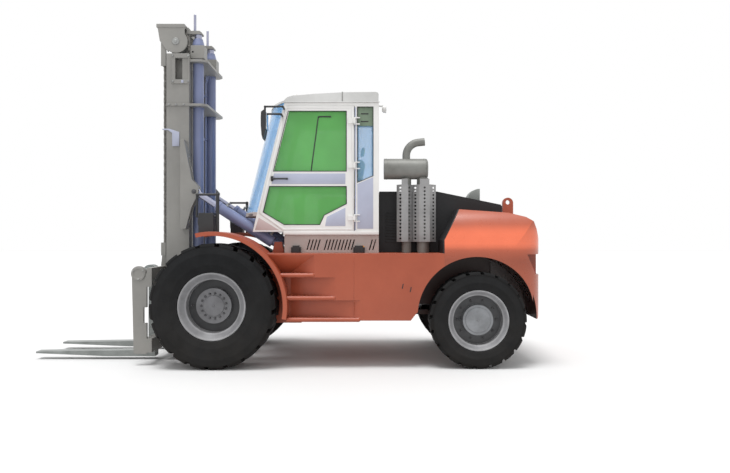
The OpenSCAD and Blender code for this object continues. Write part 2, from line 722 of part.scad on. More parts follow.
// Columns: tie z, half width, whether straps run forward over the uprights.
tie_table = [[outer_top_z - 671, mast_half + 14, true], [outer_top_z - 105, mast_half, false],
    [1400, 430, false]];
tie_t = 30;
tie_rear = 212;
clamp_z = [outer_top_z - 47, outer_top_z + 121];
gland_z = clamp_z[1] + 19;
anchor_z = [outer_top_z - 387, outer_top_z - 8];

module outer_ties() color(mast_grey) {
    for (t = tie_table) {
        difference() {
            block([tie_rear, mast_x], [-t[1], t[1]], [t[0], t[0] + tie_t]);
            both() bar_z(lift_at, lift_barrel_d / 2, [t[0] - 1, t[0] + tie_t + 1]);
            both() translate([tie_rear, t[1], t[0]]) rotate([0, 0, 45])
                cube([90, 90, 100], center = true);
        }
        if (t[2]) both()
            block([mast_x - 1, mast_front], [mast_half, t[1]], [t[0], t[0] + tie_t]);
    }
    both() difference() {
        block([262, mast_x], [270, 450], clamp_z);
        bar_z(lift_at, lift_barrel_d / 2, [clamp_z[0] - 1, clamp_z[1] + 1]);
        bar_y([408, outer_top_z + 37], 12, [400, 460]);
    }
    both() difference() {
        block([428, 658], [mast_half, mast_half + 14], anchor_z);
        block([446, 612], [mast_half - 1, mast_half + 15], [anchor_z[0] + 52, anchor_z[1] - 52]);
    }
    block([270, mast_x], [-385, 385], [200, 260]);
    both() bar_y(tilt_front, tilt_pin_d / 2, [clevis_in[1], clevis_out[0]]);
}

module lift_barrels() color(cylinder_blue) both() difference() {
    union() {
        bar_z(lift_at, lift_barrel_d / 2, [260, gland_z]);
        bar_z(lift_at, lift_barrel_d / 2 + 9, [clamp_z[1], gland_z]);
        translate([lift_at[0], lift_at[1], gland_z])
            cylinder(r1 = lift_barrel_d / 2 + 9, r2 = lift_rod_d / 2 + 10, h = 80);
    }
    bar_z(lift_at, lift_rod_d / 2 + fit, [420, gland_z + 155]);
}

module inner_uprights() color(mast_grey) both() {
    block([inner_x, inner_x + inner_flange], [345, inner_half], [190, inner_top_z]);
    block([inner_front - inner_flange, inner_front], [345, inner_half], [190, inner_top_z]);
    block([inner_x + inner_flange, inner_front - inner_flange], [inner_web_y, inner_web_y + 22],
        [190, inner_top_z]);
}

// How far the cheeks run up into the head plate.
head_seat = 20;

module mast_head() color(mast_grey) {
    block([498, 854], [-mast_half, mast_half], [head_z, head_z + 43]);
    both() slab([[498, head_z + head_seat], [498, sheave_at[1]], [714, sheave_at[1] - 130],
        [812, sheave_at[1] + 6], [840, head_z], [840, head_z + head_seat]], [485, 515]);
    both() bar_y(sheave_at, 148, [485, 515]);
    both() block([738, 800], [485, 503], [head_z - 488, head_z - 138]);
    both() block([790, 800], [385, 503], [head_z - 478, head_z + head_seat]);
    both() block([inner_x, inner_front], [345, 375], [inner_top_z, head_z + head_seat]);
    block([inner_x + 20, inner_front - 20], [-360, 360], [head_z - 238, head_z - 198]);
    both() slab([[498, head_z - 38], [498, head_z + 43], [452, head_z - 16], [329, head_z - 16],
        [300, head_z - 38], [300, head_z - 58], [498, head_z - 58]], [290, 420]);
    block([470, 498], [-420, 420], [head_z - 58, head_z + 24]);
}

module chain_sheaves() color(steel) both() {
    bar_y(sheave_at, sheave_d / 2 - 14, [chain_y - 40, chain_y + 30]);
    bar_y(sheave_at, 30, [375, 485]);
}

module lift_rods() color(steel) both() {
    bar_z(lift_at, lift_rod_d / 2, [430, head_z - 58]);
    bar_z([400, 360], 17, [head_z - 16, mast_height]);
}

module lift_chains() color(dark) both() {
    block([sheave_at[0] + sheave_d / 2 - 14, sheave_at[0] + sheave_d / 2 + 14],
        [chain_y - 25, chain_y + 25], [1500, sheave_at[1]]);
    difference() {
        bar_y(sheave_at, sheave_d / 2 + 14, [chain_y - 25, chain_y + 25]);
        bar_y(sheave_at, sheave_d / 2 - 14, [chain_y - 26, chain_y + 26]);
        block([400, 900], [300, 600], [sheave_at[1] - 260, sheave_at[1]]);
    }
    block([sheave_at[0] - sheave_d / 2 - 14, sheave_at[0] - sheave_d / 2 + 14],
        [chain_y - 25, chain_y + 25], [sheave_at[1] - 100, sheave_at[1]]);
}

module carriage_frame() color(mast_grey) {
    both() slab([[500, 160], [500, 1852], [778, 1852], [851, 1188], [851, 160]], [290, 330]);
    both() for (z = [360, 1700])
        bar_y([(inner_x + inner_front) / 2, z], (inner_front - inner_x) / 2 - inner_flange - fit,
            [330, inner_web_y - 6]);
    block([790, 851], [-carriage_half, carriage_half], [960, 1190]);
    block([790, shank_x - fit], [-carriage_half, carriage_half], [160, 330]);
    both() difference() {
        union() {
            slab([[851, 146], [851, shaft_at[1]], [1033, shaft_at[1]], [1010, 146]],
                [carriage_half - 40, carriage_half]);
            bar_y(shaft_at, 92, [carriage_half - 40, carriage_half]);
        }
        block([800, 889], [carriage_half - 50, carriage_half + 10], [520, 710]);
        bar_y(shaft_at, fork_shaft_d / 2, [carriage_half - 50, carriage_half + 10]);
    }
    both() difference() {
        block([740, 800], [330, 500], [1330, 1495]);
        block([735, 785], [chain_y - 32, chain_y + 32], [1300, 1500]);
    }
}

module fork_shaft() color(steel)
    bar_y(shaft_at, fork_shaft_d / 2, [-carriage_half, carriage_half]);

module forks() color(steel) both() difference() {
    union() {
        slab([[shank_x, 40], [shank_x, shaft_at[1]], [shank_x + fork_t, shaft_at[1]],
            [shank_x + fork_t, 123], [front_reach, 100], [front_reach, 78], [1500, 40]],
            [fork_y - fork_w / 2, fork_y + fork_w / 2]);
        bar_y(shaft_at, 92, [fork_y - fork_w / 2, fork_y + fork_w / 2]);
    }
    bar_y(shaft_at, fork_shaft_d / 2 + fit, [fork_y - fork_w, fork_y + fork_w]);
}

// Draws along the tilt cylinder's axis, from its rear pin forward.
module tilt_frame()
    both() translate([tilt_rear[0], tilt_y, tilt_rear[1]]) rotate([0, -tilt_rise, 0]) children();

tilt_barrel_end = tilt_len - 330;

module tilt_barrels() color(cylinder_blue) tilt_frame() difference() {
    union() {
        rotate([-90, 0, 0]) translate([0, 0, -35]) cylinder(r = 60, h = 70);
        translate([40, 0, 0]) rotate([0, 90, 0]) cylinder(r = 38, h = 60);
        translate([90, 0, 0]) rotate([0, 90, 0]) cylinder(r = tilt_barrel_d / 2, h = tilt_barrel_end - 90);
    }
    rotate([-90, 0, 0]) translate([0, 0, -40]) cylinder(r = tilt_pin_d / 2 + fit, h = 80);
    translate([400, 0, 0]) rotate([0, 90, 0]) cylinder(r = tilt_rod_d / 2 + fit, h = tilt_len);
}

module tilt_rods() color(steel) tilt_frame() difference() {
    union() {
        translate([tilt_len, 0, 0]) rotate([-90, 0, 0]) translate([0, 0, -35]) cylinder(r = 60, h = 70);
        translate([tilt_barrel_end - 200, 0, 0]) rotate([0, 90, 0])
            cylinder(r = tilt_rod_d / 2, h = tilt_len - tilt_barrel_end + 160);
    }
    translate([tilt_len, 0, 0]) rotate([-90, 0, 0]) translate([0, 0, -40])
        cylinder(r = tilt_pin_d / 2 + eye_slack, h = 80);
}

// Tyre from its bead out: overall radius, half width, seat and flange radii.
// The lugs of one half stand midway between those of the other, on a plain
// centre rib.
module tyre(at, y, r, w, seat, flange)
    difference() {
        turned(at, y, [[seat, -0.80 * w], [flange, -0.80 * w], [flange + 8, -0.92 * w],
            [seat + 110, -w], [r - 120, -w], [r - 30, -0.88 * w], [r, -0.76 * w],
            [r, 0.76 * w], [r - 30, 0.88 * w], [r - 120, w], [seat + 110, w],
            [flange + 8, 0.92 * w], [flange, 0.80 * w], [seat, 0.80 * w]]);
        for (side = [0, 1], i = [0 : lug_count - 1])
            translate([at[0], y, at[1]]) rotate([0, (i + side / 2) * 360 / lug_count, 0])
                mirror([0, side, 0]) rotate([0, 0, lug_skew])
                    translate([-lug_gap * r / front_r / 2, lug_rib, r - lug_depth * r / front_r])
                        cube([lug_gap * r / front_r, 2 * w, 2 * lug_depth]);
    }

// Rim with its dish and hub: seat and flange radii, half width, dish radius,
// dish face, hub radius, hub face, spindle radius and spindle end.
module rim(at, y, seat, flange, w, dish_r, dish_at, hub_r, hub_at, bore_r, bore_at)
    difference() {
        turned(at, y, [[0, hub_at], [0, dish_at - 150], [hub_r, dish_at - 150], [hub_r, dish_at - 26],
            [seat - 16, dish_at - 26], [seat - 16, -0.80 * w - 14], [flange, -0.80 * w - 14],
            [flange, -0.80 * w], [seat, -0.80 * w], [seat, 0.80 * w], [flange, 0.80 * w],
            [flange, 0.80 * w + 14], [flange - 14, 0.80 * w + 14], [dish_r, dish_at + 120],
            [dish_r, dish_at], [hub_r, dish_at], [hub_r, hub_at]]);
        bar_y([at[0], at[1]], bore_r, [y - 400, y + bore_at]);
    }

front_at = [0, front_r];
rear_at = [-wheelbase, rear_r];
front_seat = front_flange_d / 2 - 24;
rear_seat = rear_flange_d / 2 - 24;

module front_tyre() color(rubber)
    tyre(front_at, front_y, front_r, front_tyre_w / 2, front_seat, front_flange_d / 2);
module front_rim() color(steel)
    rim(front_at, front_y, front_seat, front_flange_d / 2, front_tyre_w / 2, 318, 30, 212, 92, 75 + fit, 75);
module rear_tyre() color(rubber)
    tyre(rear_at, rear_y, rear_r, rear_tyre_w / 2, rear_seat, rear_flange_d / 2);
module rear_rim() color(steel)
    rim(rear_at, rear_y, rear_seat, rear_flange_d / 2, rear_tyre_w / 2, 296, 10, 182, 112, 60 + fit, 95);

module front_tyre_left() front_tyre();
module front_rim_left() front_rim();
module front_tyre_right() mirror([0, 1, 0]) front_tyre();
module front_rim_right() mirror([0, 1, 0]) front_rim();
module rear_tyre_left() rear_tyre();
module rear_rim_left() rear_rim();
module rear_tyre_right() mirror([0, 1, 0]) rear_tyre();
module rear_rim_right() mirror([0, 1, 0]) rear_rim();

place() chassis_frame();
place() front_fenders();
place() front_axle();
place() rear_axle();
place() counterweight();
place() lifting_eye();
place() engine_block();
place() hood_sides();
place() hood_lid();
place() muffler();
place() exhaust_pipes();
place() exhaust_guards();
place() cab_plinth();
place() cab_mounts();
place() cab_floor();
place() cab_side_left();
place() cab_side_right();
place() cab_rear_wall();
place() cab_roof();
place() windscreen();
place() cab_glass();
place() door_frame();
place() door_handle();
place() door_glass();
place() seat();
place() console();
place() steering_wheel();
place() mirrors();
place() headlamps();
place() tail_lamps();
place() outer_uprights();
place() outer_ties();
place() lift_barrels();
place() inner_uprights();
place() mast_head();
place() chain_sheaves();
place() lift_rods();
place() lift_chains();
place() carriage_frame();
place() fork_shaft();
place() forks();
place() tilt_barrels();
place() tilt_rods();
place() knuckle_left();
place() knuckle_right();
place() front_tyre_left();
place() front_rim_left();
place() front_tyre_right();
place() front_rim_right();
place() rear_tyre_left();
place() rear_rim_left();
place() rear_tyre_right();
place() rear_rim_right();
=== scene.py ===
import math

import bpy
from mathutils import Matrix, Vector


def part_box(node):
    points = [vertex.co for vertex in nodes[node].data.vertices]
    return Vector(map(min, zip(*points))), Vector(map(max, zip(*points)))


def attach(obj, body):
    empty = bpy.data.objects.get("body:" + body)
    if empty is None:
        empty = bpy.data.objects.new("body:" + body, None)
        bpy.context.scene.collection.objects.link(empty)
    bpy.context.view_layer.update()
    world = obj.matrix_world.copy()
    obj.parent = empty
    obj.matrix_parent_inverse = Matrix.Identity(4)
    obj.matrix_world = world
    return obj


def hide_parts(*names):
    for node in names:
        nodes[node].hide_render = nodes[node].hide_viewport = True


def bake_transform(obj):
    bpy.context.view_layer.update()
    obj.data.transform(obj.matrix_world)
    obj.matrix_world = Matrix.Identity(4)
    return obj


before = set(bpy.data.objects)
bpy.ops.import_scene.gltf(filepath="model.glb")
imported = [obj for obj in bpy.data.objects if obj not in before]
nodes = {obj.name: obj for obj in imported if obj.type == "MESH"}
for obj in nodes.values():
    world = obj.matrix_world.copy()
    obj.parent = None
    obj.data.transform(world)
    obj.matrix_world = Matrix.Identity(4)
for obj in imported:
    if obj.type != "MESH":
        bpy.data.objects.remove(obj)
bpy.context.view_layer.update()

# Chassis and fenders: welded plate, sprayed orange.
# The coat drifts a little in tone, shows a fine peel, rubs pale along the edges
# and gathers road dust low down. Inside the wheel houses it carries painted shade in dark red-brown.


def feed(tree, socket, value):
    """Puts a value on a socket: another socket is linked to it, anything else is set."""
    if isinstance(value, bpy.types.NodeSocket):
        tree.links.new(value, socket)
    else:
        socket.default_value = value


def maths(tree, operation, first, second=0.5):
    """The result of a sum on two numbers or sockets."""
    made = tree.nodes.new("ShaderNodeMath")
    made.operation = operation
    feed(tree, made.inputs[0], first)
    feed(tree, made.inputs[1], second)
    return made.outputs["Value"]


def mixed(tree, factor, first, second, blend="MIX"):
    """The mix of two colours or sockets."""
    made = tree.nodes.new("ShaderNodeMix")
    made.data_type = "RGBA"
    made.blend_type = blend
    feed(tree, made.inputs["Factor"], factor)
    feed(tree, made.inputs["A"], first)
    feed(tree, made.inputs["B"], second)
    return made.outputs["Result"]


def between(tree, value, start, end, low, high):
    """A value moved from one range to another and held at its ends."""
    made = tree.nodes.new("ShaderNodeMapRange")
    for name, number in [("From Min", start), ("From Max", end), ("To Min", low), ("To Max", high)]:
        made.inputs[name].default_value = number
    tree.links.new(value, made.inputs["Value"])
    return made.outputs["Result"]


def graded(tree, value, stops, interpolation="LINEAR"):
    """The colour of a ramp at a value; stops are (position, colour)."""
    made = tree.nodes.new("ShaderNodeValToRGB")
    made.color_ramp.interpolation = interpolation
    for i, (position, colour) in enumerate(stops):
        stop = made.color_ramp.elements[i] if i < 2 else made.color_ramp.elements.new(position)
        stop.position = position
        stop.color = (*colour, 1)
    tree.links.new(value, made.inputs["Fac"])
    return made.outputs["Color"]


def cloudy(tree, place, scale, detail=2.0, roughness=0.5):
    """Cloudy noise that stays with the piece."""
    made = tree.nodes.new("ShaderNodeTexNoise")
    for name, number in [("Scale", scale), ("Detail", detail), ("Roughness", roughness)]:
        made.inputs[name].default_value = number
    tree.links.new(place.outputs["Object"], made.inputs["Vector"])
    return made.outputs["Fac"]


def weathered(name, colour, low_colour, roughness, peel=0.03, metallic=0.0, dust=0.35, grain=1.2, edge=0.25,
              shine=0.5):
    """A finish that drifts between two tones, with rubbed edges, dust near the ground and a fine peel."""
    made = bpy.data.materials.new(name)
    made.use_nodes = True
    tree = made.node_tree
    shader = tree.nodes["Principled BSDF"]
    shader.inputs["Metallic"].default_value = metallic
    shader.inputs["Specular IOR Level"].default_value = shine
    place = tree.nodes.new("ShaderNodeTexCoord")
    tones = graded(tree, cloudy(tree, place, grain, 8, 0.65), [(0.36, low_colour), (0.62, colour)])
    patch = cloudy(tree, place, 5, 10)

    eased = tree.nodes.new("ShaderNodeBevel")
    eased.samples = 4
    eased.inputs["Radius"].default_value = 0.006
    true_face = tree.nodes.new("ShaderNodeNewGeometry")
    turn = tree.nodes.new("ShaderNodeVectorMath")
    turn.operation = "DOT_PRODUCT"
    tree.links.new(eased.outputs["Normal"], turn.inputs[0])
    tree.links.new(true_face.outputs["True Normal"], turn.inputs[1])
    rub = between(tree, turn.outputs["Value"], 0.97, 0.80, 0, edge)
    pale = [min(1, 0.25 + 1.1 * c) for c in colour]
    rubbed = mixed(tree, maths(tree, "MULTIPLY", rub, patch), tones, (*pale, 1))

    height = tree.nodes.new("ShaderNodeSeparateXYZ")
    tree.links.new(place.outputs["Object"], height.inputs["Vector"])
    fall = between(tree, height.outputs["Z"], 0.15, 1.3, dust, 0)
    road_dust = (0.30, 0.26, 0.21, 1)
    dusted = mixed(tree, maths(tree, "MULTIPLY", fall, patch), rubbed, road_dust)
    tree.links.new(dusted, shader.inputs["Base Color"])

    gloss = between(tree, patch, 0, 1, max(roughness - 0.08, 0.03), min(roughness + 0.12, 1))
    tree.links.new(gloss, shader.inputs["Roughness"])
    bump = tree.nodes.new("ShaderNodeBump")
    bump.inputs["Strength"].default_value = peel
    bump.inputs["Distance"].default_value = 0.002
    tree.links.new(cloudy(tree, place, 160), bump.inputs["Height"])
    tree.links.new(eased.outputs["Normal"], bump.inputs["Normal"])
    tree.links.new(bump.outputs["Normal"], shader.inputs["Normal"])
    return made


def wear(material, *names):
    """Gives CAD nodes a finish."""
    for name in names:
        nodes[name].data.materials.clear()
        nodes[name].data.materials.append(material)


def axle_distance(tree, centre):
    """How far a point is from a line across the machine."""
    place = tree.nodes.new("ShaderNodeTexCoord")
    apart = tree.nodes.new("ShaderNodeVectorMath")
    apart.operation = "SUBTRACT"
    apart.inputs[1].default_value = centre
    flat = tree.nodes.new("ShaderNodeVectorMath")
    flat.operation = "MULTIPLY"
    flat.inputs[1].default_value = (1, 0, 1)
    reach = tree.nodes.new("ShaderNodeVectorMath")
    reach.operation = "LENGTH"
    tree.links.new(place.outputs["Object"], apart.inputs[0])
    tree.links.new(apart.outputs["Vector"], flat.inputs[0])
    tree.links.new(flat.outputs["Vector"], reach.inputs[0])
    return reach.outputs["Value"]


def paint_wheel_house_shade(material, centre, radius, skirt):
    """Paints shade into a finish: dark red-brown within a radius of a line across the machine and within the
    skirts.
    """
    tree = material.node_tree
    base = tree.nodes["Principled BSDF"].inputs["Base Color"]
    coat = base.links[0].from_socket
    place = tree.nodes.new("ShaderNodeTexCoord")
    across = tree.nodes.new("ShaderNodeSeparateXYZ")
    tree.links.new(place.outputs["Object"], across.inputs["Vector"])
    behind_skirt = maths(tree, "LESS_THAN", maths(tree, "ABSOLUTE", across.outputs["Y"]), skirt)
    limit = maths(tree, "MULTIPLY", behind_skirt, radius)
    inside = maths(tree, "LESS_THAN", axle_distance(tree, centre), limit)
    # painted shade: dark red-brown inside the wheel houses stands for the shade that falls there
    painted_arch_shade = (0.036, 0.011, 0.007, 1)
    tree.links.new(mixed(tree, inside, coat, painted_arch_shade), base)


front_x = sum(v[0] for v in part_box("front_rim_left")) / 2
orange_paint = weathered("orange_paint", (0.365, 0.078, 0.036), (0.315, 0.064, 0.029), 0.33, dust=0.10,
                         shine=0.4)
# the two zones of painted wheel-house shade: the rear arch, and the steering room inside the skirts
arch = ((front_x - 3.138, 0, 0.62), 0.7092, 2)
steer_room = ((front_x - 3.15, 0, 0.575), 0.7385, 1.0005)
for zone in (arch, steer_room):
    paint_wheel_house_shade(orange_paint, *zone)
wear(orange_paint, "chassis_frame", "front_fenders", "lifting_eye")

# Counterweight: one iron casting, with a painted highlight in a band above its waist and painted shade in a
# band just below it.
# Elsewhere it keeps the tone of the chassis, and the wheel houses carry painted shade in dark red-brown.
cast_paint = weathered("cast_paint", (0.365, 0.078, 0.036), (0.325, 0.067, 0.030), 0.26, dust=0.10, shine=0.5)
tree = cast_paint.node_tree
spot = tree.nodes.new("ShaderNodeTexCoord")
level = tree.nodes.new("ShaderNodeSeparateXYZ")
tree.links.new(spot.outputs["Object"], level.inputs["Vector"])
# painted light: tones above 1 are a painted highlight on the shoulder, the 0.8 at 1.28 m is painted shade
# under the bulge
bands = [(1.00, 1.0), (1.28, 0.8), (1.38, 1.0), (1.48, 2.1), (1.60, 1.95), (1.75, 1.0)]
painted_light_band = graded(tree, maths(tree, "MULTIPLY", level.outputs["Z"], 0.1),
                [(height / 10, (tone, tone, tone)) for height, tone in bands], "EASE")
base = tree.nodes["Principled BSDF"].inputs["Base Color"]
tree.links.new(mixed(tree, 1, base.links[0].from_socket, painted_light_band, "MULTIPLY"), base)
for zone in (arch, steer_room):
    paint_wheel_house_shade(cast_paint, *zone)
wear(cast_paint, "counterweight")

# Step treads: short bars welded across the three ledges for grip, each ground round at its edges.
# They stop short of the skin and follow the recess as it runs out towards the rear.


def at(x, y, z):
    """A point in millimetres, from the middle of the front axle on the ground, in the row frame."""
    return Vector((front_x + x / 1000, y / 1000, z / 1000))


def plates(spans, ease=2):
    """One mesh of plates, each between two corners in millimetres, with every edge eased."""
    bpy.ops.object.select_all(action="DESELECT")
    for i, (low, high) in enumerate(spans):
        middle, size = (at(*low) + at(*high)) / 2, at(*high) - at(*low)
        bpy.ops.mesh.primitive_cube_add(size=1, location=middle, scale=size)
        if i == 0:
            bpy.ops.object.transform_apply(location=True, rotation=True, scale=True)
            bpy.ops.object.mode_set(mode="EDIT")
    bpy.ops.mesh.select_all(action="SELECT")
    bpy.ops.mesh.bevel(offset=ease / 1000, segments=2, affect="EDGES")
    bpy.ops.mesh.normals_make_consistent(inside=False)
    bpy.ops.object.mode_set(mode="OBJECT")
    return bpy.context.object


def fix(piece, name, material, body, angle=35):
    """Names a finished piece, puts its place into its mesh, smooths it and fixes it to a body."""
    bpy.ops.object.select_all(action="DESELECT")
    piece.select_set(True)
    bpy.context.view_layer.objects.active = piece
    bpy.ops.object.transform_apply(location=True, rotation=True, scale=True)
    bpy.ops.object.shade_smooth_by_angle(angle=math.radians(angle))
    piece.name = piece.data.name = name
    piece.data.materials.clear()
    piece.data.materials.append(material)
    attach(piece, body)
    return piece


ledge_y, ledge_depth, ledge_front = 1092, 170, -900
grips = []
for tread_z, run_out in [(604, -1749), (861, -1454), (1134, -1203)]:
    for x in range(ledge_front - 25, run_out + 170, -45):
        reach = 0.82 * ledge_depth * (x - run_out) / (ledge_front - run_out)
        for near, far in [(ledge_y - reach, ledge_y), (-ledge_y, -ledge_y + reach)]:
            grips.append(((x - 7, near, tread_z - 2), (x + 7, far, tread_z + 5)))
fix(plates(grips, 2), "step_grips", orange_paint, "chassis")

# Tank side: a weld seam runs down each side where two plates meet, ground nearly flush.
# A filler cap of black plastic stands on the far deck, screwed on its neck.
seam = plates([((-1674, 1097, 640), (-1666, 1102.5, 1352)),
               ((-1674, -1102.5, 640), (-1666, -1097, 1352))], 1.5)
fix(seam, "tank_seams", orange_paint, "chassis")
black_plastic = weathered("black_plastic", (0.022, 0.022, 0.024), (0.015, 0.015, 0.016), 0.5, 0.1, dust=0.0,
                          edge=0.06)


def lathe(rings, count=32):
    """A round piece on the Z axis, drawn up ring by ring from (radius, height) pairs in millimetres."""
    bpy.ops.object.select_all(action="DESELECT")
    bpy.ops.mesh.primitive_circle_add(vertices=count, radius=rings[0][0] / 1000, fill_type="NGON")
    bpy.ops.object.mode_set(mode="EDIT")
    bpy.ops.mesh.select_mode(type="VERT")
    bpy.ops.mesh.select_all(action="SELECT")
    bpy.ops.transform.translate(value=(0, 0, rings[0][1] / 1000))
    for (r, z), (wide, high) in zip(rings, rings[1:]):
        bpy.ops.mesh.extrude_region_move(TRANSFORM_OT_translate={"value": (0, 0, (high - z) / 1000)})
        bpy.ops.transform.resize(value=(wide / r, wide / r, 1), center_override=(0, 0, high / 1000))
    bpy.ops.mesh.select_all(action="DESELECT")
    bpy.ops.mesh.select_non_manifold()
    bpy.ops.mesh.edge_face_add()
    bpy.ops.mesh.select_all(action="SELECT")
    bpy.ops.mesh.normals_make_consistent(inside=False)
    bpy.ops.object.mode_set(mode="OBJECT")
    return bpy.context.object


def repeat(piece, places):
    """Copies a piece to every place, each with its own mesh, and joins the copies into one."""
    copies = []
    for place in places:
        copy = piece.copy()
        copy.data = piece.data.copy()
        copy.matrix_world = place
        bpy.context.collection.objects.link(copy)
        copies.append(copy)
    bpy.data.objects.remove(piece)
    bpy.ops.object.select_all(action="DESELECT")
    for copy in copies:
        copy.select_set(True)
    bpy.context.view_layer.objects.active = copies[0]
    bpy.ops.object.join()
    return bpy.context.object


def facing(direction):
    """Turns a lathed piece from +Z to face a direction."""
    return Vector(direction).to_track_quat("Z", "Y").to_matrix().to_4x4()


cap = lathe([(60, 0), (60, 30), (74, 32), (76, 38), (76, 64), (70, 72), (40, 76), (36, 70), (2, 69)], 40)
cap.matrix_world = Matrix.Translation(at(-2250, -820, 1368))
fix(cap, "filler_cap", black_plastic, "chassis")

# Tail lamps: a red acrylic lens on the sloping wall of each corner recess.
# It is moulded in one piece with its case and screwed in.
red_lens = weathered("red_lens", (0.45, 0.02, 0.015), (0.38, 0.015, 0.01), 0.18, 0.02, dust=0.0, edge=0.05)
wear(red_lens, "tail_lamps")

# Axles, knuckles and engine: castings under a coat of dark grey paint, with ground-in dirt.
# A ring of bolts holds the cover of the differential, and a drive shaft runs back from it.
axle_grey = weathered("axle_grey", (0.055, 0.055, 0.058), (0.03, 0.03, 0.032), 0.55, 0.12, dust=0.3, edge=0.1)
wear(axle_grey, "front_axle", "rear_axle", "engine_block", "knuckle_left", "knuckle_right")
nut_rings = [(15, -4), (15, 10), (13.5, 13), (9, 13), (9, 21), (7, 23)]
cover = lathe([(212, 0), (212, 14), (204, 18), (150, 52), (70, 70), (30, 72), (28, 84), (3, 85)], 48)
axle_z, bolt_circle = 745, 182
cover.matrix_world = Matrix.Translation(at(-158, 0, axle_z)) @ facing((-1, 0, 0))
fix(cover, "differential_cover", axle_grey, "chassis")
spokes = [i * math.tau / 14 for i in range(14)]
ring = [Matrix.Translation(at(-174, bolt_circle * math.cos(a), axle_z + bolt_circle * math.sin(a)))
        @ facing((-1, 0, 0)) for a in spokes]
fix(repeat(lathe(nut_rings, 6), ring), "differential_bolts", axle_grey, "chassis")
shaft = lathe([(52, 0), (52, 30), (36, 36), (36, 640), (52, 646), (58, 690), (40, 700), (40, 740)], 28)
shaft.matrix_world = Matrix.Translation(at(-240, 0, 690)) @ facing((-1, 0, 0))
fix(shaft, "drive_shaft", axle_grey, "chassis")

# Engine: an in-line diesel under the hood, its block cast, its rocker covers pressed and bolted down.
# A canister air filter lies across the front, with a slanted intake pipe; the oil filler has a fluted cap.
head = plates([((-3080, -190, 1746), (-2180, 190, 1800)), ((-3040, 188, 1640), (-2240, 262, 1736))], 9)
fix(head, "cylinder_head", axle_grey, "chassis")
cover_at = (-3060, -2840, -2620, -2400)
covers = plates([((x, -130, 1796), (x + 190, 130, 1868)) for x in cover_at], 22)
fix(covers, "rocker_covers", orange_paint, "chassis")
spots = [at(x + dx, y, 1866) for x in cover_at for dx in (50, 140) for y in (-60, 60)]
bolts = repeat(lathe([(13, -3), (13, 9), (11, 12), (3, 12.5)], 6), [Matrix.Translation(p) for p in spots])
fix(bolts, "rocker_bolts", axle_grey, "chassis")
filter_can = lathe([(90, 0), (104, 6), (108, 20), (108, 300), (112, 304), (112, 330), (108, 334), (108, 400),
                    (98, 416), (40, 420), (38, 426), (2, 427)], 48)
filter_can.matrix_world = Matrix.Translation(at(-2150, -330, 1940)) @ facing((0, 1, 0))
fix(filter_can, "air_filter", black_plastic, "chassis")
intake = lathe([(46, 0), (46, 60), (52, 64), (52, 84), (46, 88), (46, 210), (60, 214), (60, 232)], 32)
intake.matrix_world = Matrix.Translation(at(-2170, -60, 1880)) @ facing((-0.75, 0.5, -0.55))
fix(intake, "intake_pipe", black_plastic, "chassis")
oil_cap = lathe([(36, 0), (36, 14), (42, 16), (42, 34), (36, 40), (12, 42), (10, 50), (2, 51)], 10)
oil_cap.matrix_world = Matrix.Translation(at(-3135, 120, 1748))
fix(oil_cap, "oil_cap", axle_grey, "chassis")

# Wheels: pressed and welded rims; the flange is light grey with painted highlights at its lip and inner edge
# and painted shade between, the deep dish and the hub darker.
# Tyres are moulded rubber with painted shade as a darker ring in the grooves, and fine rings on the side
# walls.


def zoned(name, node, zones, roughness, ring_bump=0.0, shine=0.4):
    """A finish whose tone goes by the distance from a wheel's axle; zones are (radius in mm, grey colour)."""
    made = weathered(name, (0.5, 0.5, 0.5), (0.4, 0.4, 0.4), roughness, 0.06, dust=0.06, grain=6, edge=0.1,
                     shine=shine)
    tree = made.node_tree
    low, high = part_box(node)
    reach = axle_distance(tree, ((low[0] + high[0]) / 2, 0, (low[2] + high[2]) / 2))
    tone = graded(tree, reach, [(radius / 1000, colour) for radius, colour in zones])
    rubbed = [n for n in tree.nodes if n.bl_idname == "ShaderNodeMix"][0]
    drift = [n for n in tree.nodes if n.bl_idname == "ShaderNodeValToRGB"][0]
    drift.color_ramp.elements[0].color = (0.72, 0.72, 0.72, 1)
    drift.color_ramp.elements[1].color = (1, 1, 1, 1)
    tree.links.new(mixed(tree, 1, tone, drift.outputs["Color"], "MULTIPLY"), rubbed.inputs["A"])
    if ring_bump:
        swing = maths(tree, "SINE", maths(tree, "MULTIPLY", reach, 420))
        bump = [n for n in tree.nodes if n.bl_idname == "ShaderNodeBump"][0]
        rings = tree.nodes.new("ShaderNodeBump")
        rings.inputs["Strength"].default_value = ring_bump
        rings.inputs["Distance"].default_value = 0.003
        tree.links.new(swing, rings.inputs["Height"])
        tree.links.new(bump.outputs["Normal"], rings.inputs["Normal"])
        tree.links.new(rings.outputs["Normal"], tree.nodes["Principled BSDF"].inputs["Normal"])
    return made


# painted light: the flange's bright rings are painted highlights of its rolled profile, the darker ring
# between is painted shade
painted_flange_highlight, painted_flange_shade = (0.34, 0.34, 0.35), (0.22, 0.22, 0.23)
dish, hub = (0.040, 0.041, 0.045), (0.165, 0.165, 0.175)
front_rim = zoned("front_rim_paint", "front_rim_left",
                  [(0, hub), (208, hub), (216, dish), (312, dish), (320, painted_flange_highlight), (340, painted_flange_shade), (374, painted_flange_shade),
                   (392, painted_flange_highlight), (404, painted_flange_highlight)], 0.42)
pale_hub, grey_dish = (0.24, 0.25, 0.265), (0.085, 0.087, 0.092)
rear_rim = zoned("rear_rim_paint", "rear_rim_left",
                 [(0, pale_hub), (178, pale_hub), (188, grey_dish), (290, grey_dish), (300, painted_flange_highlight),
                  (316, painted_flange_shade), (334, painted_flange_shade), (350, painted_flange_highlight), (362, painted_flange_highlight)], 0.42)
wear(front_rim, "front_rim_left", "front_rim_right")
wear(rear_rim, "rear_rim_left", "rear_rim_right")
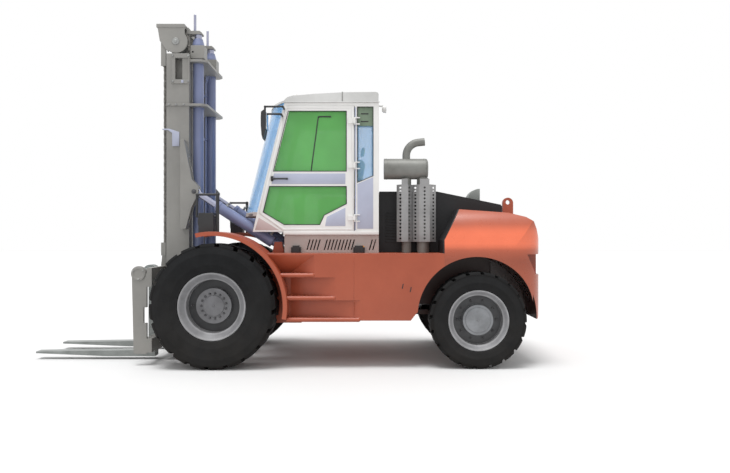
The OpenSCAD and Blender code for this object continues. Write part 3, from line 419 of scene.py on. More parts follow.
# painted shade: the darker ring of rubber stands for the shade in the tread grooves
rubber, painted_groove_shade = (0.0125, 0.013, 0.014), (0.006, 0.006, 0.0065)
front_rubber = zoned("front_rubber", "front_rim_left",
                     [(0, rubber), (690, rubber), (712, painted_groove_shade), (744, rubber)], 0.7, 0.25, 0.12)
rear_rubber = zoned("rear_rubber", "rear_rim_left",
                    [(0, rubber), (520, rubber), (540, painted_groove_shade), (574, rubber)], 0.7, 0.25, 0.12)
wear(front_rubber, "front_tyre_left", "front_tyre_right")
wear(rear_rubber, "rear_tyre_left", "rear_tyre_right")

# Wheel nuts, hub covers, valves and rim lips: dull hexagon nuts on studs and a turned cover over each hub.
# The lip is the rolled edge of the rim, and the valve stands on the dish.
nut_steel = weathered("nut_steel", (0.085, 0.085, 0.09), (0.06, 0.06, 0.065), 0.45, 0.05, 0.3, 0.1, 5)
for side, s in [("left", 1), ("right", -1)]:
    out = facing((0, s, 0))
    for end, x, y, z, face, nut_face, circle, count, cover_r, lip_r, lip_face in [
            ("front", 0, 990, 745, 92, 92, 149, 15, 124, 394, 222),
            ("rear", -3150, 975, 575, 112, 10, 236, 10, 150, 352, 170)]:
        body = "wheel_" + end + "_" + side
        rim = front_rim if end == "front" else rear_rim
        centre = at(x, s * (y + face), z)
        turns = [Matrix.Rotation(i * math.tau / count, 4, "Y") for i in range(count)]
        nut_centre, arm = at(x, s * (y + nut_face), z), Vector((circle / 1000, 0, 0))
        ring = [Matrix.Translation(nut_centre + turn @ arm) @ out for turn in turns]
        fix(repeat(lathe(nut_rings, 6), ring), body + "_nuts", nut_steel, body)
        plate = lathe([(cover_r, -3), (cover_r, 6), (cover_r - 4, 9), (cover_r - 8, 9.5), (20, 10), (18, 8),
                       (12, 8), (11, 13), (2, 14)], 48)
        plate.matrix_world = Matrix.Translation(centre) @ out
        fix(plate, body + "_hub_cover", rim, body)
        bpy.ops.object.select_all(action="DESELECT")
        bpy.ops.mesh.primitive_torus_add(major_radius=lip_r / 1000, minor_radius=0.009, major_segments=96,
                                         minor_segments=12)
        lip = bpy.context.object
        bpy.ops.object.mode_set(mode="EDIT")
        bpy.ops.mesh.select_all(action="SELECT")
        bpy.ops.transform.resize(value=(1, 1, 0.7), center_override=(0, 0, 0))
        bpy.ops.object.mode_set(mode="OBJECT")
        lip.matrix_world = Matrix.Translation(at(x, s * (y + lip_face), z)) @ out
        fix(lip, body + "_rim_lip", rim, body)
        reach_in, seat_y = (268, y + 30) if end == "front" else (206, y + 10)
        valve = lathe([(14, -4), (14, 4), (7, 7), (6, 34), (9, 35), (9, 52), (6, 55)], 16)
        valve.matrix_world = Matrix.Translation(at(x + reach_in, s * seat_y, z)) @ out
        fix(valve, body + "_valve", nut_steel, body)

# Steering: a double-ended cylinder lies along the rear axle, and its polished rods reach out at both ends.
# Each rod leaves the barrel through a screwed gland.


def both_sides(piece, x, y, z):
    """A copy of a lathed piece on each side of the machine, facing outwards."""
    return repeat(piece, [Matrix.Translation(at(x, s * y, z)) @ facing((0, s, 0)) for s in (1, -1)])


chrome = weathered("chrome", (0.40, 0.41, 0.52), (0.33, 0.34, 0.44), 0.22, 0.0, 0.7, 0.1, 3, 0.05)
steer_x, steer_z = -3310, 575
rods = lathe([(26, 0), (26, 140), (24, 144)], 24)
fix(both_sides(rods, steer_x, 355, steer_z), "steer_rods", chrome, "chassis")
caps = lathe([(53, 0), (57, 4), (57, 26), (50, 32), (34, 34), (34, 40), (30, 42)], 28)
fix(both_sides(caps, steer_x, 330, steer_z), "steer_glands", axle_grey, "chassis")

# Hood: black-painted sheet, folded and spot welded, with the lid hinged at the rear.
# Louvre slats are pressed out of its sides.
hood_black = weathered("hood_black", (0.020, 0.020, 0.022), (0.014, 0.014, 0.015), 0.48, 0.06, dust=0.0,
                       edge=0.08, shine=0.3)
wear(hood_black, "hood_sides", "hood_lid")
hood_y, slat_out = 520, 9
slats = []
for z in range(1500, 1896, 36):
    for low_y, high_y in [(hood_y, hood_y + slat_out), (-hood_y - slat_out, -hood_y)]:
        slats.append(((-2640, low_y, z), (-2060, high_y, z + 16)))
fix(plates(slats, 3), "hood_slats", hood_black, "chassis")

# Exhaust: an aluminised muffler on steel pipes, with a pressed end cap and two clamping bands.
# The guards are folded, pierced sheet of a brighter grey.
exhaust_steel = weathered("exhaust_steel", (0.205, 0.207, 0.193), (0.15, 0.15, 0.138), 0.5, 0.1, 0.3, 0.1, 4)
guard_steel = weathered("guard_steel", (0.30, 0.30, 0.30), (0.235, 0.235, 0.235), 0.45, 0.05, 0.3, 0.05, 3)
wear(exhaust_steel, "muffler", "exhaust_pipes")
wear(guard_steel, "exhaust_guards")
band = lathe([(129, 0), (130.6, 1), (130.6, 17), (129, 18)], 64)
muffler_y, muffler_z = 660, 2416
places = [Matrix.Translation(at(x, muffler_y, muffler_z)) @ facing((-1, 0, 0)) for x in (-2062, -2530)]
fix(repeat(band, places), "muffler_bands", exhaust_steel, "chassis")
end_cap = lathe([(129, -4), (129.8, 0), (126, 8), (116, 15), (96, 20), (40, 22), (2, 22.5)], 64)
end_cap.matrix_world = Matrix.Translation(at(-2566, muffler_y, muffler_z)) @ facing((-1, 0, 0))
fix(end_cap, "muffler_end", exhaust_steel, "chassis")

# Plinth and cab mounts: a grey pressed box with louvres, on black rubber mounts.
# A dark grey-brown sheet behind the louvres is painted shade for the inside of the plinth, and an amber
# marker lamp hangs on the second mount.
plinth_grey = weathered("plinth_grey", (0.45, 0.385, 0.36), (0.37, 0.315, 0.295), 0.45, 0.05, dust=0.15)
wear(plinth_grey, "cab_plinth", "cab_floor")
wear(black_plastic, "cab_mounts")
baffle_y = 620
baffle = plates([((-1900, s * baffle_y - 3, 1382), (-880, s * baffle_y + 3, 1550)) for s in (1, -1)], 2)
# painted shade: the dark sheet stands for the shade inside the plinth behind the louvres
louvre_shade_grey = weathered("louvre_shade_grey", (0.13, 0.11, 0.10), (0.10, 0.085, 0.08), 0.6, 0.1, dust=0.0,
                        edge=0.06)
fix(baffle, "louvre_shade_sheets", louvre_shade_grey, "chassis")
amber_lens = weathered("amber_lens", (0.75, 0.28, 0.03), (0.66, 0.22, 0.02), 0.2, 0.02, dust=0.0, edge=0.05)
marker = lathe([(30, 0), (31, 3), (31, 9), (28, 10), (28, 22), (24, 28), (12, 31), (2, 31.5)], 32)
fix(both_sides(marker, -1769, 742, 1430), "side_markers", amber_lens, "chassis")

# Cab shell: folded and welded steel, sprayed off-white outside, with lavender-grey infill panels.
# The panels are pressed sheets set into the frames of the door and the rear quarter.
cab_white = weathered("cab_white", (0.735, 0.725, 0.71), (0.66, 0.655, 0.64), 0.32, 0.03, dust=0.1, edge=0.12)
lavender = weathered("lavender_panel", (0.405, 0.43, 0.54), (0.355, 0.375, 0.475), 0.32, 0.03, dust=0.05,
                     edge=0.12)
# painted shade: the roof's white is darker than the walls' to hold back the light from above
roof_white_shaded = weathered("roof_white_shaded", (0.58, 0.58, 0.57), (0.47, 0.47, 0.46), 0.4, 0.04, dust=0.0, edge=0.12)
wear(cab_white, "cab_side_left", "cab_side_right", "cab_rear_wall", "door_frame")
wear(roof_white_shaded, "cab_roof")


def panel(corners, y, thick, rim=0.0, ease=1.5):
    """A flat panel parallel to the sides, corners (x, z) in millimetres; a rim leaves a ring that wide."""
    bpy.ops.object.select_all(action="DESELECT")
    bpy.ops.mesh.primitive_circle_add(vertices=len(corners), fill_type="NGON")
    piece = bpy.context.object
    for vertex, (x, z) in zip(piece.data.vertices, corners):
        vertex.co = at(x, y, z)
    bpy.ops.object.mode_set(mode="EDIT")
    bpy.ops.mesh.select_mode(type="FACE")
    bpy.ops.mesh.select_all(action="SELECT")
    if rim:
        bpy.ops.mesh.inset(thickness=rim / 1000, depth=0)
        bpy.ops.mesh.delete(type="FACE")
        bpy.ops.mesh.select_all(action="SELECT")
    bpy.ops.mesh.normals_make_consistent(inside=False)
    bpy.ops.object.mode_set(mode="OBJECT")
    wall = piece.modifiers.new("wall", "SOLIDIFY")
    wall.thickness = thick / 1000
    wall.offset = 0
    bpy.ops.object.modifier_apply(modifier="wall")
    eased = piece.modifiers.new("eased", "BEVEL")
    eased.width = ease / 1000
    eased.segments = 2
    eased.limit_method = "ANGLE"
    bpy.ops.object.modifier_apply(modifier="eased")
    return piece


def joined(pieces):
    """Joins pieces into the first one."""
    bpy.ops.object.select_all(action="DESELECT")
    for piece in pieces:
        piece.select_set(True)
    bpy.context.view_layer.objects.active = pieces[0]
    bpy.ops.object.join()
    return bpy.context.object


skin, screen_x, screen_z, rake = 770, -458, 1826, 0.2482


def pillar_x(z):
    """The front pillar's line in the side view."""
    return screen_x - (z - screen_z) * rake


door_panels = [[(-1560, 2222), (-1560, 2352), (pillar_x(2352) - 90, 2352), (pillar_x(2222) - 90, 2222)],
               [(-1310, 1702), (-1330, 1815), (-1560, 1930), (-1560, 1702)]]
fix(joined([panel(c, skin, 5) for c in door_panels]), "door_panels", lavender, "door")
quarter = [(-1708, 1668), (-1708, 2222), (-1904, 2306), (-1904, 1668)]
quarters = joined([panel(quarter, s * skin, 5) for s in (1, -1)])
fix(quarters, "quarter_panels", lavender, "chassis")
post = [(-1676, 1650), (-1676, 3170), (-1692, 3170), (-1692, 1650)]
fix(joined([panel(post, s * skin, 4) for s in (1, -1)]), "post_strips", lavender, "chassis")
nose = [(screen_x - 30, 1806), (-440, 1652), (-740, 1652)]
blush = weathered("nose_panel", (0.50, 0.39, 0.38), (0.44, 0.34, 0.335), 0.32, 0.03, dust=0.1, edge=0.12)
fix(joined([panel(nose, s * skin, 4) for s in (1, -1)]), "nose_panels", blush, "chassis")

# Door edge: a folded strip of the door's own skin, which laps over the gap at the front, head and foot.
# It is spot welded to the door, sprayed with it, and stops at the hinges.
lap = [(-1667, 1641), (-1667, 3192), (pillar_x(3192) - 20, 3192), (pillar_x(1860) - 20, 1860), (-789, 1641)]
fix(panel(lap, skin + 1.4, 2, 34, 0.8), "door_lap", cab_white, "door")

# Finger pulls: two small slanted marks on each side below the exhaust, flat black sheets that stand for
# the painted shade of pressed recesses.
pulls = [panel([(x - 24, z + 30), (x - 13, z + 30), (x, z - 30), (x - 11, z - 30)], s * 1100, 5, 0, 1.5)
         for x, z in ((-2240, 979), (-2335, 941)) for s in (1, -1)]
fix(joined(pulls), "finger_pulls", black_plastic, "chassis")

# Hood scoop: a bent cover over the air intake on the lid, left in grey-green primer.
# One sheet rolled to a quarter circle, seamed along its sides.
primer = weathered("primer", (0.24, 0.255, 0.24), (0.19, 0.20, 0.19), 0.5, 0.05, dust=0.1)
bend_x, bend_z, bend_r, scoop_foot = -3333, 2040, 169, 2000
turns = [math.radians(d) for d in range(0, 91, 10)]
bend = [(bend_x, scoop_foot)]
bend += [(bend_x + bend_r * math.sin(a), bend_z + bend_r * math.cos(a)) for a in turns]
bend += [(bend_x + bend_r, scoop_foot)]
fix(panel(bend, 0, 226, 0, 4), "scoop_cover", primer, "hood")

# Sill rail: a white-sprayed rectangular tube along the foot of each cab side, with rounded edges.
# A drip rail runs along each side of the roof, and a band of grey sealant crosses it.
rail = plates([((-1974, 766, 1594), (-795, 779, 1640)), ((-1974, -779, 1594), (-795, -766, 1640))], 5)
fix(rail, "sill_rails", cab_white, "chassis")
seam = plates([((-1530, -776, 3350), (-1516, 776, 3362)), ((-1530, 774, 3236), (-1516, 784, 3362)),
               ((-1530, -784, 3236), (-1516, -774, 3362))], 3)
drip = plates([((-1984, 776, 3228), (-830, 788, 3242)), ((-1984, -788, 3228), (-830, -776, 3242))], 4)
fix(drip, "drip_rails", roof_white_shaded, "chassis")
sealant = weathered("seam_sealant", (0.27, 0.27, 0.26), (0.21, 0.21, 0.20), 0.7, 0.2, dust=0.0, edge=0.0)
fix(seam, "roof_seam", sealant, "chassis")

# Glass: green tinted safety glass in the door, pale blue elsewhere; the curved windscreen is bonded in.
# Each flat pane is held by a ring of black rubber channel standing just proud of the sheet metal.


def tinted(name, colour, clear):
    """Tinted glass: a thin coloured sheet with a slight ripple, clear by the given share."""
    made = bpy.data.materials.new(name)
    made.use_nodes = True
    tree = made.node_tree
    shader = tree.nodes["Principled BSDF"]
    shader.inputs["Roughness"].default_value = 0.05
    shader.inputs["Alpha"].default_value = 1 - clear
    place = tree.nodes.new("ShaderNodeTexCoord")
    drift = cloudy(tree, place, 1.6, 4)
    tones = graded(tree, drift, [(0.3, [0.8 * c for c in colour]), (0.7, colour)])
    tree.links.new(tones, shader.inputs["Base Color"])
    ripple = tree.nodes.new("ShaderNodeBump")
    ripple.inputs["Strength"].default_value = 0.03
    ripple.inputs["Distance"].default_value = 0.01
    tree.links.new(drift, ripple.inputs["Height"])
    tree.links.new(ripple.outputs["Normal"], shader.inputs["Normal"])
    return made


green_glass = tinted("green_glass", (0.115, 0.43, 0.10), 0.2)
blue_glass = tinted("blue_glass", (0.30, 0.60, 0.95), 0.7)
screen_blue = tinted("screen_blue", (0.24, 0.58, 1.0), 0.6)
wear(green_glass, "door_glass")
wear(blue_glass, "cab_glass")
wear(screen_blue, "windscreen")
upper_pane = [(-1577, 2376), (-1577, 3128), (pillar_x(3128) - 68, 3128), (pillar_x(2376) - 68, 2376)]
lower_pane = [(pillar_x(2197) - 68, 2197), (pillar_x(1872) - 68, 1872), (-803, 1714), (-1246, 1714),
              (-1302, 1833), (-1579, 1975), (-1577, 2197)]
quarter_pane = [(-1704, 3180), (-1908, 3180), (-1908, 2320), (-1704, 2235)]
seal_y = skin - 2
door_seals = joined([panel(c, seal_y, 9, 9, 2) for c in (upper_pane, lower_pane)])
fix(door_seals, "door_seals", black_plastic, "door")
seals = [panel(quarter_pane, s * seal_y, 9, 8, 2) for s in (1, -1)]
seals += [panel(c, -seal_y, 9, 9, 2) for c in (upper_pane, lower_pane)]
fix(joined(seals), "side_seals", black_plastic, "chassis")
seal = panel([(-560, 2330), (560, 2330), (560, 3120), (-560, 3120)], 0, 9, 9, 2)
seal.matrix_world = (Matrix.Translation(at(-1974, 0, 0)) @ Matrix.Rotation(math.pi / 2, 4, "Z")
                     @ Matrix.Translation(-at(0, 0, 0)))
fix(seal, "rear_seal", black_plastic, "chassis")

# Sliding window: the leaf's edge strip slants across the upper door pane, with a grip bar at its top.
# A track crosses the pane behind it. All are black plastic channel, pressed on the edge of the glass.
strip = panel([(-1218, 3062), (-1230, 3062), (-1140, 2380), (-1128, 2380)], 748, 9, 0, 2)
grip = panel([(-1228, 3050), (-1384, 3050), (-1384, 3066), (-1228, 3066)], 749, 11, 0, 3)
track = panel([(-1572, 2942), (pillar_x(2942) - 72, 2942), (pillar_x(2952) - 72, 2952), (-1572, 2952)],
              731, 6, 0, 1)
fix(joined([strip, grip, track]), "window_slider", black_plastic, "door")
wear(black_plastic, "door_handle")

# Operator's seat: foam cushions under a woven olive cover, on a plastic box with a bellows.
# The foam pushes the cover out to a crown and leaves the corners drawn in; it is puffed up by a cloth run.
seat_box = plates([((-1690, -220, 1645), (-1260, 220, 1800)), ((-1670, -200, 1800), (-1280, 200, 1835)),
                   ((-1690, -215, 1835), (-1260, 215, 1870)), ((-1670, -200, 1870), (-1280, 200, 1905)),
                   ((-1700, -225, 1905), (-1250, 225, 1965))], 10)
fix(seat_box, "seat_box", black_plastic, "chassis")
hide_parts("seat")
# painted light: the olive is lighter than the cloth, to stand in for light inside the shaded cab
olive_weave = weathered("olive_weave", (0.44, 0.46, 0.11), (0.33, 0.35, 0.08), 0.85, 0.5, dust=0.0, grain=9,
                        edge=0.0)


def stuffed(name, corners, half):
    """A stuffed cushion from a side outline (x, z) in millimetres, as wide as twice the half width."""
    piece = panel(corners, 0, 2 * half, 0, 30)
    meshed = piece.modifiers.new("meshed", "REMESH")
    meshed.mode = "VOXEL"
    meshed.voxel_size = 0.010
    bpy.ops.object.modifier_apply(modifier="meshed")
    rest = [v.co.copy() for v in piece.data.vertices]
    most_puff = 0.024
    cloth = piece.modifiers.new("cloth", "CLOTH")
    cloth.settings.use_pressure = True
    cloth.settings.uniform_pressure_force = 4
    cloth.settings.effector_weights.gravity = 0
    cloth.point_cache.frame_start = 1
    cloth.point_cache.frame_end = 20
    for step in range(1, 21):
        bpy.context.scene.frame_set(step)
    bpy.context.view_layer.objects.active = piece
    bpy.ops.object.modifier_apply(modifier="cloth")
    bpy.context.scene.frame_set(1)
    for vertex, was in zip(piece.data.vertices, rest):
        moved = vertex.co - was
        if moved.length > most_puff:
            vertex.co = was + moved.normalized() * most_puff
    smooth = piece.modifiers.new("smooth", "SUBSURF")
    smooth.levels = smooth.render_levels = 1
    bpy.ops.object.modifier_apply(modifier="smooth")
    fix(piece, name, olive_weave, "chassis", 180)


stuffed("seat_cushion", [(-1690, 1985), (-1690, 2070), (-1240, 2078), (-1222, 2050), (-1222, 1985)], 240)
stuffed("seat_back", [(-1700, 2110), (-1795, 2600), (-1722, 2615), (-1618, 2110)], 222)
stuffed("headrest", [(-1788, 2650), (-1806, 2758), (-1762, 2768), (-1738, 2650)], 108)

# Controls: a plastic console with a column, a wheel with a capped boss, and three hydraulic levers.
# The levers have ball knobs and stand on the side console within reach of the seat.
wear(black_plastic, "console", "steering_wheel", "mirrors", "headlamps")
lever = lathe([(24, 0), (26, 8), (16, 22), (8, 30), (7, 150), (10, 154), (19, 164), (22, 176), (19, 190),
               (8, 198), (2, 199)], 24)
places = [Matrix.Translation(at(x, -380, 2093)) @ facing((0.18, 0, 1)) for x in (-1210, -1300, -1390)]
fix(repeat(lever, places), "hydraulic_levers", black_plastic, "chassis")
spin = facing((-150, 0, 240))
boss = lathe([(46, 0), (48, 4), (46, 14), (34, 20), (10, 22), (2, 22)], 32)
boss.matrix_world = Matrix.Translation(at(-1080, 0, 2300) + spin @ Vector((0, 0, 0.038))) @ spin
fix(boss, "wheel_boss", black_plastic, "chassis")

# Roof lining and quarter vent: pressed felt board under the roof, clipped at its edges.
# A grey-green plastic vent closes the top of the left quarter window, outside the glass; its two slots are
# black strips of painted shade.
felt = weathered("felt_board", (0.18, 0.24, 0.17), (0.145, 0.195, 0.14), 0.9, 0.4, dust=0.0, grain=8,
                 edge=0.0)
fix(plates([((-1908, -700, 3150), (-900, 700, 3222))], 6), "roof_lining", felt, "chassis")
vent = panel([(-1705, 2942), (-1705, 3180), (-1907, 3180), (-1907, 2942)], 752, 8, 0, 2)
fix(vent, "quarter_vent", felt, "chassis")
painted_slot_shade = plates([((-1846, 753, z), (-1752, 759, z + 14)) for z in (3086, 2990)], 2.5)
fix(painted_slot_shade, "vent_slots", black_plastic, "chassis")

# Wiper: a pressed arm on a spindle, with a rubber blade parked along the foot of the curved screen.
# It stands off the glass by its own blade.


def rod(start, end, radius, count=12):
    """A round bar between two points in metres, its ends eased."""
    along = end - start
    length = along.length * 1000
    tip, ease = radius * 0.7, radius * 0.3
    piece = lathe([(tip, 0), (radius, ease), (radius, length - ease), (tip, length)], count)
    piece.matrix_world = Matrix.Translation(start) @ facing(along)
    bpy.ops.object.transform_apply(location=True, rotation=True, scale=True)
    return piece


lean, bulge = math.atan(rake), 240
sweep = (skin ** 2 + bulge ** 2) / (2 * bulge)


def on_screen(y, up, off=0):
    """A point on the windscreen, in millimetres: y across, up its slope from the foot, and off the glass."""
    out = math.sqrt((sweep + off) ** 2 - y ** 2) - (sweep - bulge)
    return at(screen_x + out * math.cos(lean) - up * math.sin(lean), y,
              screen_z + out * math.sin(lean) + up * math.cos(lean))


arms = [rod(on_screen(300, 62, 24), on_screen(60, 96, 26), 7)]
arms += [rod(on_screen(240 - i * 90, 74, 14), on_screen(150 - i * 90, 74, 14), 9) for i in range(5)]
fix(joined(arms), "wiper", black_plastic, "chassis")

# Mirrors: a silvered glass let into the back of each plastic shell and bonded there.
# The arms and the shell are black.
mirror_glass = weathered("mirror_glass", (0.62, 0.66, 0.70), (0.56, 0.60, 0.65), 0.06, 0.0, 1.0, 0.0, 2, 0.02)
mirror_y, mirror_half = 945, 82
glass = plates([((-621, s * mirror_y - mirror_half, 2862), (-611, s * mirror_y + mirror_half, 3056))
                for s in (1, -1)], 3)
fix(glass, "mirror_faces", mirror_glass, "chassis")

# Work lamps: round moulded housings with clear lenses, on feet at the roof's front corners and left rear.
# The headlamps face forward on the fender boxes, each lens in a black rim.
clear_lens = weathered("clear_lens", (0.72, 0.76, 0.78), (0.62, 0.66, 0.70), 0.10, 0.05, 0.2, 0.0, 30, 0.03)
shell_rings = [(20, -46), (30, -44), (44, -30), (46, -6), (50, -4), (50, 6), (46, 8), (43, 4), (41, 4)]
lens_rings = [(41, 0), (41, 5), (34, 9), (18, 12), (2, 13)]
ahead, behind = facing((1, 0, 0)), facing((-1, 0, 0))
lamp_y, foot_half = 560, 14
roof_spots = [Matrix.Translation(at(-902, s * lamp_y, 3342)) @ ahead for s in (1, -1)]
roof_spots.append(Matrix.Translation(at(-2064, lamp_y, 3186)) @ behind)
fix(repeat(lathe(shell_rings, 32), roof_spots), "work_lamp_shells", cab_white, "chassis")
fix(repeat(lathe(lens_rings, 32), roof_spots), "work_lamp_lenses", clear_lens, "chassis")
feet = [((-960, s * lamp_y - foot_half, 3292), (-918, s * lamp_y + foot_half, 3312)) for s in (1, -1)]
feet.append(((-2034, lamp_y - foot_half, 3216), (-1966, lamp_y + foot_half, 3234)))
fix(plates(feet, 4), "work_lamp_feet", cab_white, "chassis")
head_spots = [Matrix.Translation(at(184, s * 990, 1752)) @ ahead for s in (1, -1)]
rims = repeat(lathe([(84, -3), (84, 6), (80, 10), (72, 8), (72, 2)], 48), head_spots)
fix(rims, "headlamp_rims", black_plastic, "chassis")
lenses = repeat(lathe([(73, -2), (73, 4), (60, 12), (30, 17), (2, 18)], 48), head_spots)
fix(lenses, "headlamp_lenses", clear_lens, "chassis")

# Mast: hot-rolled channels welded up and sprayed warm grey, rubbed pale along the edges.
# Hydraulic cylinders are sprayed lilac-blue, their rods hard chromed.
mast_grey = weathered("mast_grey", (0.262, 0.256, 0.24), (0.215, 0.21, 0.198), 0.42, 0.05, dust=0.15)
cylinder_blue = weathered("cylinder_blue", (0.185, 0.215, 0.355), (0.155, 0.18, 0.30), 0.32, 0.04, dust=0.1)
fork_steel = weathered("fork_steel", (0.265, 0.285, 0.28), (0.19, 0.205, 0.20), 0.45, 0.1, 0.4, 0.15, 5)
wear(mast_grey, "outer_uprights", "outer_ties", "inner_uprights", "mast_head", "carriage_frame")
wear(cylinder_blue, "lift_barrels", "tilt_barrels")
wear(chrome, "lift_rods", "tilt_rods")
wear(fork_steel, "fork_shaft", "forks", "chain_sheaves")

# Mast hardware: bolts through the tie straps, a hose bracket and steel pressure lines clipped up the back.
# Each line is drawn tube in the colour of the cylinders, held by clamps on the outer mast.
bare_steel = weathered("bare_steel", (0.36, 0.37, 0.36), (0.24, 0.24, 0.24), 0.45, 0.08, 0.6, 0.2, 4)
bolt = lathe([(15, -4), (15, 9), (12, 12), (4, 12.5)], 6)
strap_y = 534
spots = [at(x, s * strap_y, z) for x in (444, 641) for z in (3545, 3870) for s in (1, -1)]
spots += [at(x, s * strap_y, 3249) for x in (500, 600, 690) for s in (1, -1)]
bolts = repeat(bolt, [Matrix.Translation(p) @ facing((0, math.copysign(1, p.y), 0)) for p in spots])
fix(bolts, "mast_bolts", bare_steel, "mast_outer")
arm = [(560, 2722), (650, 2722), (652, 2890), (704, 2926), (776, 2928), (776, 2944), (690, 2944), (560, 2902)]
brackets = [panel(arm, s * 525, 10, 0, 3) for s in (1, -1)]
brackets.append(plates([((505, s * 533 - 11, 3526), (533, s * 533 + 11, 3560)) for s in (1, -1)], 4))
fix(joined(brackets), "hose_brackets", lavender, "mast_outer")
line_x, line_y, tube_r, clamp_half = 400, 269, 11, 36
lines = []
for s in (1, -1):
    for y in (line_y + 17, line_y - 17):
        lines.append(rod(at(line_x, s * y, 520), at(line_x, s * y, 3700), tube_r, 16))
        lines.append(rod(at(line_x, s * y, 3696), at(line_x - 20, s * (y + 24), 3760), tube_r, 16))
    clamps = [((384, s * line_y - clamp_half, z), (438, s * line_y + clamp_half, z + 30))
              for z in (900, 1600, 2900, 3500)]
    lines.append(plates(clamps, 5))
fix(joined(lines), "pressure_lines", cylinder_blue, "mast_outer")

# Lift chains: leaf chain, plates laced on pins, over the sheaves at the mast head.
# The front run shortens as the carriage climbs, so it is drawn between the inner mast and the carriage.
chain_oil = weathered("chain_oil", (0.20, 0.19, 0.175), (0.12, 0.115, 0.105), 0.35, 0.05, 0.5, 0.1, 20, 0.1)


def leaf_run(x, y, low, high, pitch):
    """A straight run of leaf chain between two heights."""
    leaves = []
    count = round((high - low) / pitch)
    step = (high - low) / count
    for i in range(count):
        z = low + i * step
        for j in ((-20, -12), (-2, 6), (14, 22)) if i % 2 else ((-11, -3), (7, 13)):
            leaves.append(((x - 13, y + j[0], z - 8), (x + 13, y + j[1], z + step + 8)))
        leaves.append(((x - 6, y - 24, z - 6), (x + 6, y + 24, z + 6)))
    return plates(leaves, 2.5)


chain_x, chain_y, chain_low, chain_high = 762, 450, 1496, 4056
for side, s in [("left", 1), ("right", -1)]:
    run = leaf_run(chain_x, s * chain_y, chain_low, chain_high, 51)
    fix(run, "chain_run_" + side, chain_oil, "mast_inner")
    run.parent = None
    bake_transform(run)
sheave_x, sheave_z = 609, 4060
wrap = []
for i in range(10):
    turn = Matrix.Rotation(-math.pi * (i + 0.5) / 10, 4, "Y")
    link = plates([((-26, j, 140), (26, j + 8, 166)) for j in ((-20, -2, 14) if i % 2 else (-11, 7))], 2.5)
    link.matrix_world = (Matrix.Translation(at(sheave_x, 0, sheave_z)) @ Matrix.Rotation(math.pi / 2, 4, "Y")
                         @ turn @ Matrix.Translation(-at(0, 0, 0)))
    bpy.ops.object.transform_apply(location=True, rotation=True, scale=True)
    wrap.append(link)
wrap = repeat(joined(wrap), [Matrix.Translation((0, s * chain_y / 1000, 0)) for s in (1, -1)])
fix(wrap, "chain_wraps", chain_oil, "mast_inner")
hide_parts("lift_chains")
tails = joined([leaf_run(456, s * chain_y, 3962, 4058, 48) for s in (1, -1)])
fix(tails, "chain_tails", chain_oil, "mast_inner")

# Sheave pins and shaft caps: turned steel, each cap held by three hexagon bolts.
# The caps keep the fork shaft in the carriage's end plates.
pins = lathe([(46, -4), (46, 6), (42, 10), (20, 11), (18, 16), (3, 17)], 32)
fix(both_sides(pins, sheave_x, 515, sheave_z), "sheave_pins", bare_steel, "mast_inner")
shaft_x, shaft_z, bolt_circle = 951, 1120, 70
end_caps = lathe([(86, -3), (86, 8), (82, 12), (58, 13), (54, 9), (2, 9)], 48)
fix(both_sides(end_caps, shaft_x, 920, shaft_z), "shaft_caps", mast_grey, "carriage")
spots = [(s, i * math.tau / 3 + 0.5) for s in (1, -1) for i in range(3)]
places = [Matrix.Translation(at(shaft_x + bolt_circle * math.cos(a), s * 932,
                                shaft_z + bolt_circle * math.sin(a))) @ facing((0, s, 0)) for s, a in spots]
cap_bolts = repeat(lathe([(11, -3), (11, 8), (9, 10), (3, 10.5)], 6), places)
fix(cap_bolts, "shaft_cap_bolts", bare_steel, "carriage")

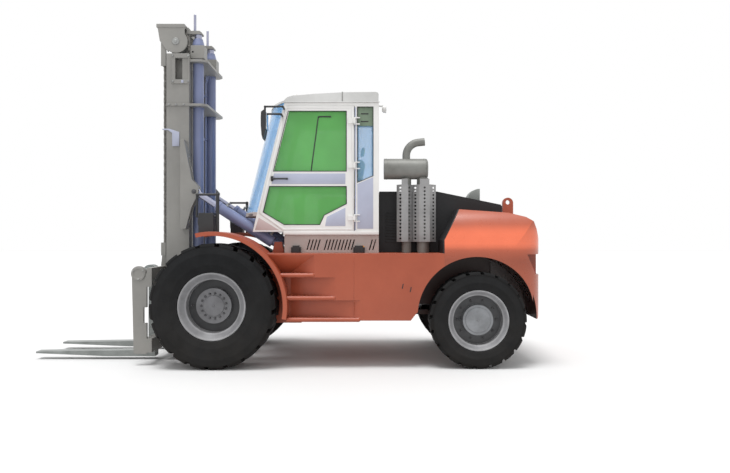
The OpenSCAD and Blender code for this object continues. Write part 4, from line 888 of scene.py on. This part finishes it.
# Tilt cylinders: a screwed gland at the front of each barrel and hose unions on top.
# A dark cap closes the end of the pin that carries each rod on the mast.
eye_x, eye_z, pin_x, pin_z = 341, 2137, -713, 1450
tilt_way = (at(eye_x, 0, eye_z) - at(pin_x, 0, pin_z)).normalized()
rear_pins = [at(pin_x, s * 590, pin_z) for s in (1, -1)]
gland = lathe([(69, 0), (74, 4), (74, 40), (68, 48), (50, 52), (44, 56)], 40)
gland = repeat(gland, [Matrix.Translation(p + tilt_way * 0.885) @ facing(tilt_way) for p in rear_pins])
fix(gland, "tilt_glands", cylinder_blue, "tilt_barrel")
union = lathe([(20, -6), (20, 14), (15, 18), (15, 30), (18, 31), (18, 46), (10, 50)], 12)
up = Vector((-tilt_way.z, 0, tilt_way.x))
spots = [p + tilt_way * d + up * 0.066 for p in rear_pins for d in (0.16, 0.82)]
unions = repeat(union, [Matrix.Translation(p) @ facing(up) for p in spots])
fix(unions, "tilt_unions", bare_steel, "tilt_barrel")
stud = lathe([(30, -3), (30, 4), (27, 7), (16, 8), (14, 14), (4, 15)], 28)
fix(both_sides(stud, eye_x, 660, eye_z), "tilt_pin_caps", nut_steel, "mast_outer")

# Studio: a plain pale floor, a white surround and one broad soft light from above.
# Nothing here belongs to the part.
bpy.ops.object.select_all(action="DESELECT")
bpy.ops.mesh.primitive_plane_add(size=120, location=(0, 0, 0))
floor = bpy.context.object
floor.name = "studio_floor"
pale = weathered("studio_pale", (0.63, 0.63, 0.63), (0.62, 0.62, 0.62), 0.8, 0.0, dust=0.0, grain=0.4,
                 edge=0.0, shine=0.1)
floor.data.materials.append(pale)
world = bpy.data.worlds.new("studio")
bpy.context.scene.world = world
world.use_nodes = True
world.node_tree.nodes["Background"].inputs["Color"].default_value = (1, 1, 1, 1)
world.node_tree.nodes["Background"].inputs["Strength"].default_value = 1.0
overhead = bpy.data.lights.new("overhead", "SUN")
overhead.energy = 2.5
overhead.angle = math.radians(24)
light = bpy.data.objects.new("overhead", overhead)
light.rotation_euler = Vector((0.10, 0.16, 1)).to_track_quat("Z", "Y").to_euler()
bpy.context.collection.objects.link(light)

# Camera: square on to the left side, at the photograph's place and lens.
# It looks along -Y from 9.37 m.
view = bpy.data.cameras.new("camera")
view.sensor_width = 36
focal_px, picture_px = 695, 730
view.lens = view.sensor_width * focal_px / picture_px
camera = bpy.data.objects.new("camera", view)
camera.location = (front_x - 1.803, 9.37, 1.572)
camera.rotation_euler = (math.pi / 2, 0, math.pi)
bpy.context.collection.objects.link(camera)
bpy.context.scene.camera = camera
bpy.context.scene.view_settings.view_transform = "Standard"
